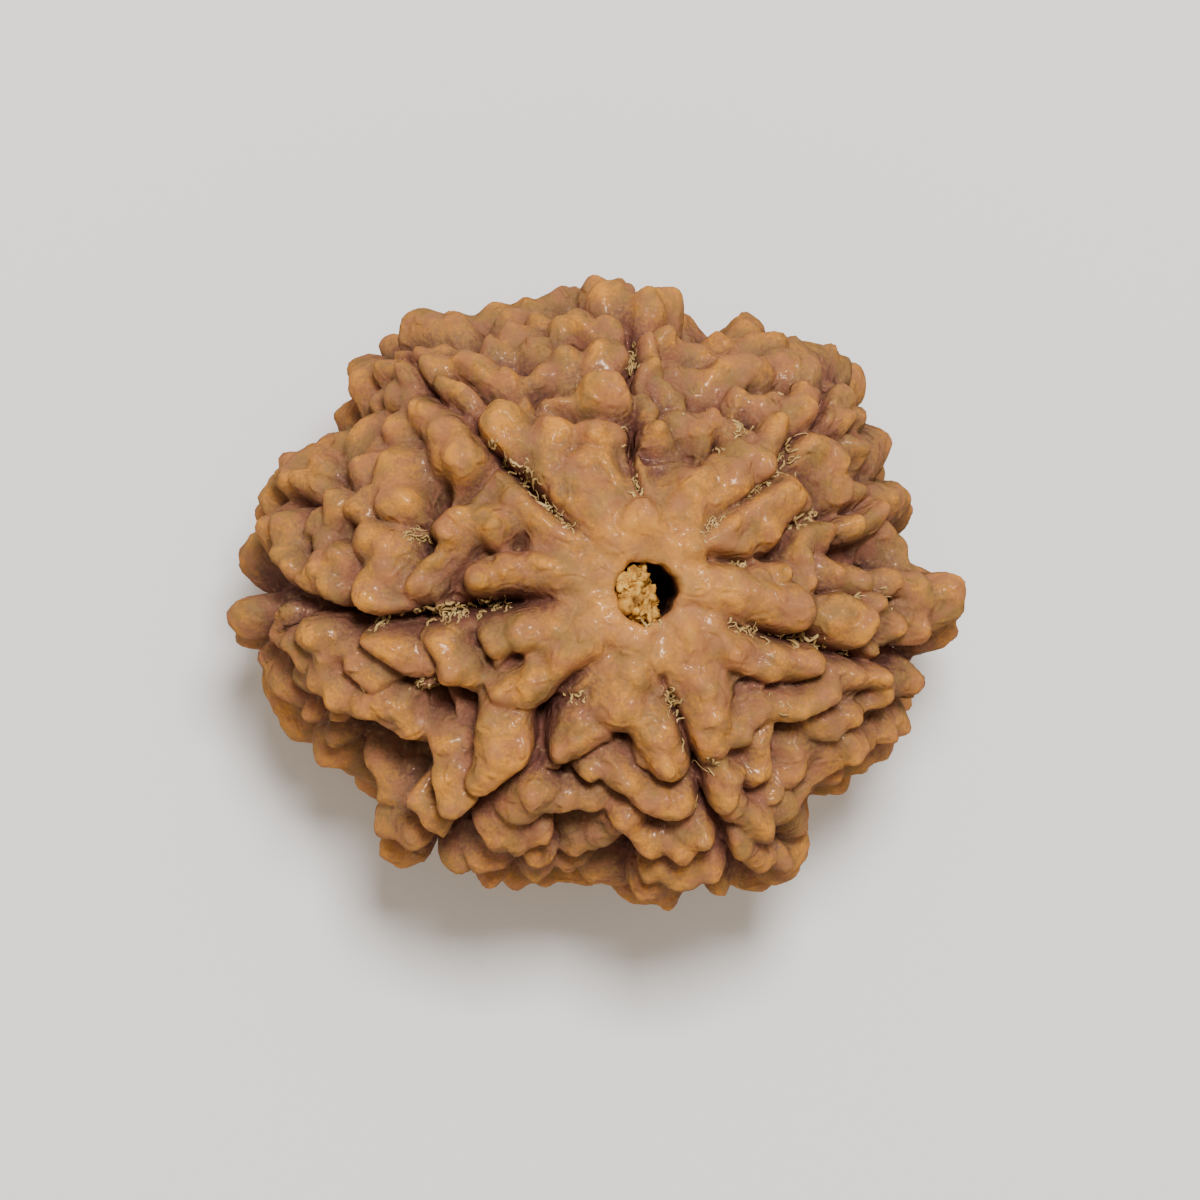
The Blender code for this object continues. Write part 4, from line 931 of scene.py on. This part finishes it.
# Pith and pulp: dry plant fibre, matt, the pith golden and crumbly, the pulp pale straw. Size in mm
# and detail of the patches, the colours through them, roughness, and height in mm of the lumps.
fibreFinishes = dict(
    pith=dict(
        patches=(0.3, 3.0), ramp=((0.3, "#7A4E1C"), (0.48, "#C28B38"), (0.68, "#DFB058")), roughness=0.85,
        lumps=0.08, strength=0.6,
    ),
    pulp=dict(
        patches=(0.9, 2.0), ramp=((0.3, "#9C7A48"), (0.55, "#C6A468"), (0.75, "#DEC286")), roughness=0.7,
        lumps=None,
    ),
)


def fibreMaterial(name, finish):
    made, tree, shader = newMaterial(name)
    place = node(tree, "ShaderNodeTexCoord").outputs["Object"]
    size, detailed = finish["patches"]
    inputs = {"Vector": place, "Scale": 1 / (size * mm), "Detail": detailed}
    patches = node(tree, "ShaderNodeTexNoise", inputs).outputs["Fac"]
    tone = node(tree, "ShaderNodeValToRGB", {"Fac": patches}, finish["ramp"]).outputs["Color"]
    tree.links.new(tone, shader.inputs["Base Color"])
    shader.inputs["Roughness"].default_value = finish["roughness"]
    if finish["lumps"]:
        inputs = {"Height": patches, "Strength": finish["strength"], "Distance": finish["lumps"] * mm}
        tree.links.new(node(tree, "ShaderNodeBump", inputs).outputs[0], shader.inputs["Normal"])
    return made


def tubeWalls(rows, sides, inward=False):
    # Four-sided faces of a tube of rings, each ring closed on itself.
    row, corner = np.meshgrid(np.arange(rows - 1) * sides, np.arange(sides), indexing="ij")
    beside = (corner + 1) % sides
    corners = (row + corner, row + beside, row + sides + beside, row + sides + corner)
    if inward:
        corners = corners[:1] + corners[:0:-1]
    return np.stack(corners, -1).reshape(-1, 4)


def ribbons(paths, radii, flatness, sides=4):
    # A thin closed ribbon along each path: flattened rings across the path, both ends drawn nearly to
    # a point by the root of a sine.
    count, steps = paths.shape[:2]
    along = np.gradient(paths, axis=1)
    along /= np.maximum(np.linalg.norm(along, axis=2, keepdims=True), 1e-9)
    upright = 0.9
    helper = np.where(np.abs(along[..., 2:]) > upright, (1.0, 0.0, 0.0), (0.0, 0.0, 1.0))
    side = np.cross(along, helper)
    side /= np.linalg.norm(side, axis=2, keepdims=True)
    other = np.cross(along, side)
    turn = np.linspace(0, fullTurn, sides, endpoint=False)[:, None]
    tip = 0.25
    taper = np.sqrt(np.sin(np.linspace(tip, math.pi - tip, steps)))[None, :, None, None]
    ring = np.cos(turn) * side[:, :, None] + flatness * np.sin(turn) * other[:, :, None]
    points = paths[:, :, None] + radii[:, :, None, None] * taper * ring
    ends = np.array((tuple(range(sides))[::-1], tuple(range((steps - 1) * sides, steps * sides))))
    single = np.concatenate((tubeWalls(steps, sides), ends))
    offsets = np.arange(count)[:, None, None] * steps * sides
    return points.reshape(-1, 3), (single[None] + offsets).reshape(-1, 4)


# Where pulp fibres lie: x and y in the view, half spread along and across, heading in degrees and count.
fibrePatches = (
    (-3.1, 2.8, 1.0, 0.35, 135, 46), (-4.4, 4.5, 0.9, 0.3, 140, 34), (-2.3, 6.9, 0.4, 0.2, 60, 9),
    (-0.2, 3.9, 0.8, 0.3, 95, 40), (-0.8, 5.4, 0.4, 0.15, 80, 10), (2.3, 2.3, 0.6, 0.25, 40, 26),
    (4.1, 3.8, 0.9, 0.3, 40, 46), (1.6, 6.0, 0.4, 0.15, 20, 10), (4.6, 7.2, 0.3, 0.2, 60, 8),
    (5.9, 2.6, 0.5, 0.3, 20, 26), (3.3, 1.05, 0.4, 0.15, 0, 10), (3.4, -1.2, 0.7, 0.2, -15, 22),
    (6.1, -1.8, 0.8, 0.3, -10, 28), (1.0, -3.9, 0.35, 0.85, 0, 26), (-2.2, -3.6, 0.4, 0.3, 225, 16),
    (-7.0, -0.7, 1.1, 0.35, 180, 44), (-9.4, -1.2, 0.4, 0.2, 180, 10), (-7.9, 2.05, 0.3, 0.4, 90, 20),
    (0.35, -1.05, 0.35, 0.1, 0, 8), (1.6, -7.3, 0.4, 0.2, 100, 8), (-5.4, -0.5, 0.6, 0.2, 180, 18),
    (3.3, 5.6, 0.8, 0.4, 30, 14), (5.0, 4.8, 0.7, 0.3, 60, 16), (-3.4, 5.0, 0.5, 0.5, 60, 12),
    (8.0, 0.0, 0.5, 0.5, 100, 14), (-9.6, -3.2, 0.6, 0.3, 160, 10), (-7.8, -3.6, 0.5, 0.4, 150, 12),
    (4.6, -4.2, 0.9, 0.3, 0, 12), (2.2, -5.6, 0.3, 0.8, 0, 14), (-0.3, 8.6, 0.2, 0.9, 0, 10),
)
# Sizes of the fibres in mm, how far they curl, stray and vary, and how they lie: arched, bridging the
# hollows under them, sunk a little, and kept within the gap of the surface.
fibreForm = dict(
    seed=5, lengths=(0.18, 0.85), radii=(0.012, 0.065), flatness=0.3, steps=9, curl=0.75, stray=0.9,
    spread=1.6, unevenness=0.45, arch=0.1, arches=(0.2, 1.4), bridge=0.55, sink=0.12, gap=0.45,
)


def pulpFibres(forms, material):
    # Each fibre is a short curled path laid on the carved surface, arched a little off it.
    random = np.random.default_rng(fibreForm["seed"])
    steps, spread = fibreForm["steps"], fibreForm["spread"]
    starts, headings = [], []
    for x, y, along, across, heading, count in fibrePatches:
        lead = math.radians(heading)
        a, b = random.normal(0, along / spread, count), random.normal(0, across / spread, count)
        startX = x + a * math.cos(lead) - b * math.sin(lead)
        startY = y + a * math.sin(lead) + b * math.cos(lead)
        starts.append(np.stack((startX, startY), 1))
        headings.append(lead + random.normal(0, fibreForm["stray"], count))
    starts, headings = np.concatenate(starts), np.concatenate(headings)
    count = len(starts)
    length = random.uniform(*fibreForm["lengths"], count)
    bend = np.cumsum(random.normal(0, fibreForm["curl"], (count, steps)), axis=1)
    angle = headings[:, None] + bend
    step = (length / steps)[:, None]
    flat = np.stack((np.cumsum(step * np.cos(angle), 1), np.cumsum(step * np.sin(angle), 1)), -1)
    flat = starts[:, None] + flat - flat[:, steps // 2, None]
    base = lifted(flat.reshape(-1, 2))
    arches = fibreForm["arch"] * random.uniform(*fibreForm["arches"], count)
    arch = arches[:, None] * np.sin(np.linspace(0, math.pi, steps))
    ground = relief(base, forms).reshape(count, steps)
    # a stiff fibre bridges the hollows under it, so its height goes towards its own highest part
    bridge = fibreForm["bridge"]
    rise = (1 - bridge) * ground + bridge * ground.max(axis=1, keepdims=True) - fibreForm["sink"]
    rise = np.minimum(rise, ground + fibreForm["gap"]) + arch
    paths = (base + bodyNormals(base) * rise.reshape(-1, 1)).reshape(count, steps, 3)
    radii = random.uniform(*fibreForm["radii"], (count, 1))
    radii = radii * (1 + fibreForm["unevenness"] * random.uniform(-1, 1, (count, steps)))
    points, faceRows = ribbons(paths, radii, fibreForm["flatness"])
    points[:, 2] += body["middleZ"]
    return meshPiece("pulp_fibres", points, faceRows, material)


# Crumbs: their count, sizes and lumps, and the heap's shape in the canal's mouth.
crumbForm = dict(
    seed=8, count=190, sizes=(0.06, 0.24), stretch=(0.7, 1.35), lump=0.55, lumpTurns=2.6, rings=6, sides=8,
    reach=0.86, topZ=16.6, fall=1.5, fallFrom=-0.4, fallOver=1.1, fallPower=1.3, depth=0.9, depthPower=1.5,
    edge=0.35, edgeLean=0.4,
)


def pithCrumbs(material):
    # Small lumpy balls heaped in the canal's mouth, highest at its left wall: unit balls, each with
    # its own size, stretch and lumps, set at drawn places in the heap.
    random = np.random.default_rng(crumbForm["seed"])
    rings, sides, count = crumbForm["rings"], crumbForm["sides"], crumbForm["count"]
    pole = 0.25
    turn = np.linspace(0, fullTurn, sides, endpoint=False)
    polar, azimuth = np.meshgrid(np.linspace(pole, math.pi - pole, rings), turn, indexing="ij")
    unit = np.stack((np.sin(polar) * np.cos(azimuth), np.sin(polar) * np.sin(azimuth), np.cos(polar)), -1)
    unit = unit.reshape(-1, 3)
    # three faces close the ball at each pole
    cap = np.array(((0, 1, 2, 3), (0, 3, 4, 5), (0, 5, 6, 7)))
    single = np.concatenate((tubeWalls(rings, sides, inward=True), cap, (rings - 1) * sides + cap[:, ::-1]))
    reach = np.sqrt(random.uniform(0, 1, count)) * crumbForm["reach"] * canal["radius"]
    turn = random.uniform(0, fullTurn, count)
    x, y = reach * np.cos(turn), reach * np.sin(turn)
    # the heap falls away from the left wall to the right, where the canal stands open
    away = np.clip((x - crumbForm["fallFrom"]) / crumbForm["fallOver"], 0, 1)
    top = crumbForm["topZ"] - crumbForm["fall"] * away ** crumbForm["fallPower"]
    kept = x < crumbForm["edge"] - crumbForm["edgeLean"] * y
    z = top - random.uniform(0, crumbForm["depth"], count) ** crumbForm["depthPower"]
    centres = np.stack((x + canal["x"], y + canal["y"], z), 1)[kept]
    count = len(centres)
    size = random.uniform(*crumbForm["sizes"], (count, 1, 1))
    size = size * random.uniform(*crumbForm["stretch"], (count, 1, 3))
    headings = random.normal(0, crumbForm["lumpTurns"], (count, 3, 1))
    lumps = 1 + crumbForm["lump"] * np.sin(unit @ headings + random.uniform(0, fullTurn, (count, 1, 1)))
    points = centres[:, None] + unit * size * lumps
    faceRows = (single[None] + np.arange(count)[:, None, None] * len(unit)).reshape(-1, 4)
    return meshPiece("pith_crumbs", points.reshape(-1, 3), faceRows, material)


def addCamera():
    # Long lens at the view's distance, square to the sight line, aimed at the nut's middle.
    right, up, toward = sightAxes()
    data = bpy.data.cameras.new("camera")
    camera = bpy.data.objects.new("camera", data)
    bpy.context.scene.collection.objects.link(camera)
    middle = Vector((0, 0, body["middleZ"])) * mm
    turn = Matrix((right, up, toward)).transposed().to_4x4()
    camera.matrix_world = Matrix.Translation(middle + Vector(toward) * view["distance"] * mm) @ turn
    data.sensor_width = view["sensorWidth"]
    data.lens = view["sensorWidth"] * view["distance"] / view["pictureWidth"]
    data.clip_start = 0.01
    bpy.context.scene.camera = camera


# Direction, power, width in metres, colour, and whether a lamp lights the surface or only shows as a
# glint, then the sky, and the floor with its half width in metres.
studio = dict(
    lamps=(
        ((0.0, 0.3, 1.0), 1.08, 0.07, "#FFFFFF", "light"),
        ((0.0, 0.35, 1.0), 0.8, 0.035, "#FFDCC4", "glint"),
        ((0.7, 0.3, 0.9), 0.35, 0.035, "#FFDCC4", "glint"),
    ),
    distance=0.3, sky=0.52, skyColour="#FFF1DE", floor="#FFFFFF", floorRoughness=0.9, floorHalf=0.6,
)


def addStudio():
    # A broad lamp above the back edge, two small ones for glints, an even pale sky and a plain floor.
    for direction, power, size, colour, use in studio["lamps"]:
        lamp = bpy.data.lights.new("lamp", "AREA")
        lamp.energy, lamp.size, lamp.color = power, size, linear(colour)[:3]
        holder = bpy.data.objects.new("lamp", lamp)
        bpy.context.scene.collection.objects.link(holder)
        place = Vector(direction).normalized() * studio["distance"]
        holder.location = place + Vector((0, 0, body["middleZ"])) * mm
        holder.rotation_euler = place.to_track_quat("Z", "Y").to_euler()
        holder.visible_glossy, holder.visible_diffuse = use == "glint", use == "light"
    world = bpy.data.worlds.new("sky")
    bpy.context.scene.world = world
    world.use_nodes = True
    background = world.node_tree.nodes["Background"]
    background.inputs["Color"].default_value = linear(studio["skyColour"])
    background.inputs["Strength"].default_value = studio["sky"]
    # the sky and the floor light the nut but aren't mirrored in it
    world.cycles_visibility.glossy = False
    made, _, shader = newMaterial("pale floor")
    shader.inputs["Base Color"].default_value = linear(studio["floor"])
    shader.inputs["Roughness"].default_value = studio["floorRoughness"]
    mesh = bpy.data.meshes.new("floor")
    half = studio["floorHalf"]
    corners = [(-half, -half, 0), (half, -half, 0), (half, half, 0), (-half, half, 0)]
    mesh.from_pydata(corners, [], [(0, 1, 2, 3)])
    mesh.materials.append(made)
    floor = bpy.data.objects.new("floor", mesh)
    bpy.context.scene.collection.objects.link(floor)
    floor.visible_glossy = False


forms = drawForms()
print("forms drawn:", len(forms["ridges"]), "ridges")
nut = nutSurface(forms, shellMaterial())
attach(nut, "root")
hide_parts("nut")
print("nut surface:", len(nut.data.polygons), "faces")

fibres = pulpFibres(forms, fibreMaterial("dried fruit pulp fibre", fibreFinishes["pulp"]))
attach(fibres, "root")
print("pulp fibres:", len(fibres.data.polygons), "faces")

crumbs = pithCrumbs(fibreMaterial("dry crumbling pith", fibreFinishes["pith"]))
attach(crumbs, "root")
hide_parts("pith")
print("pith crumbs:", len(crumbs.data.polygons), "faces")

addCamera()
addStudio()
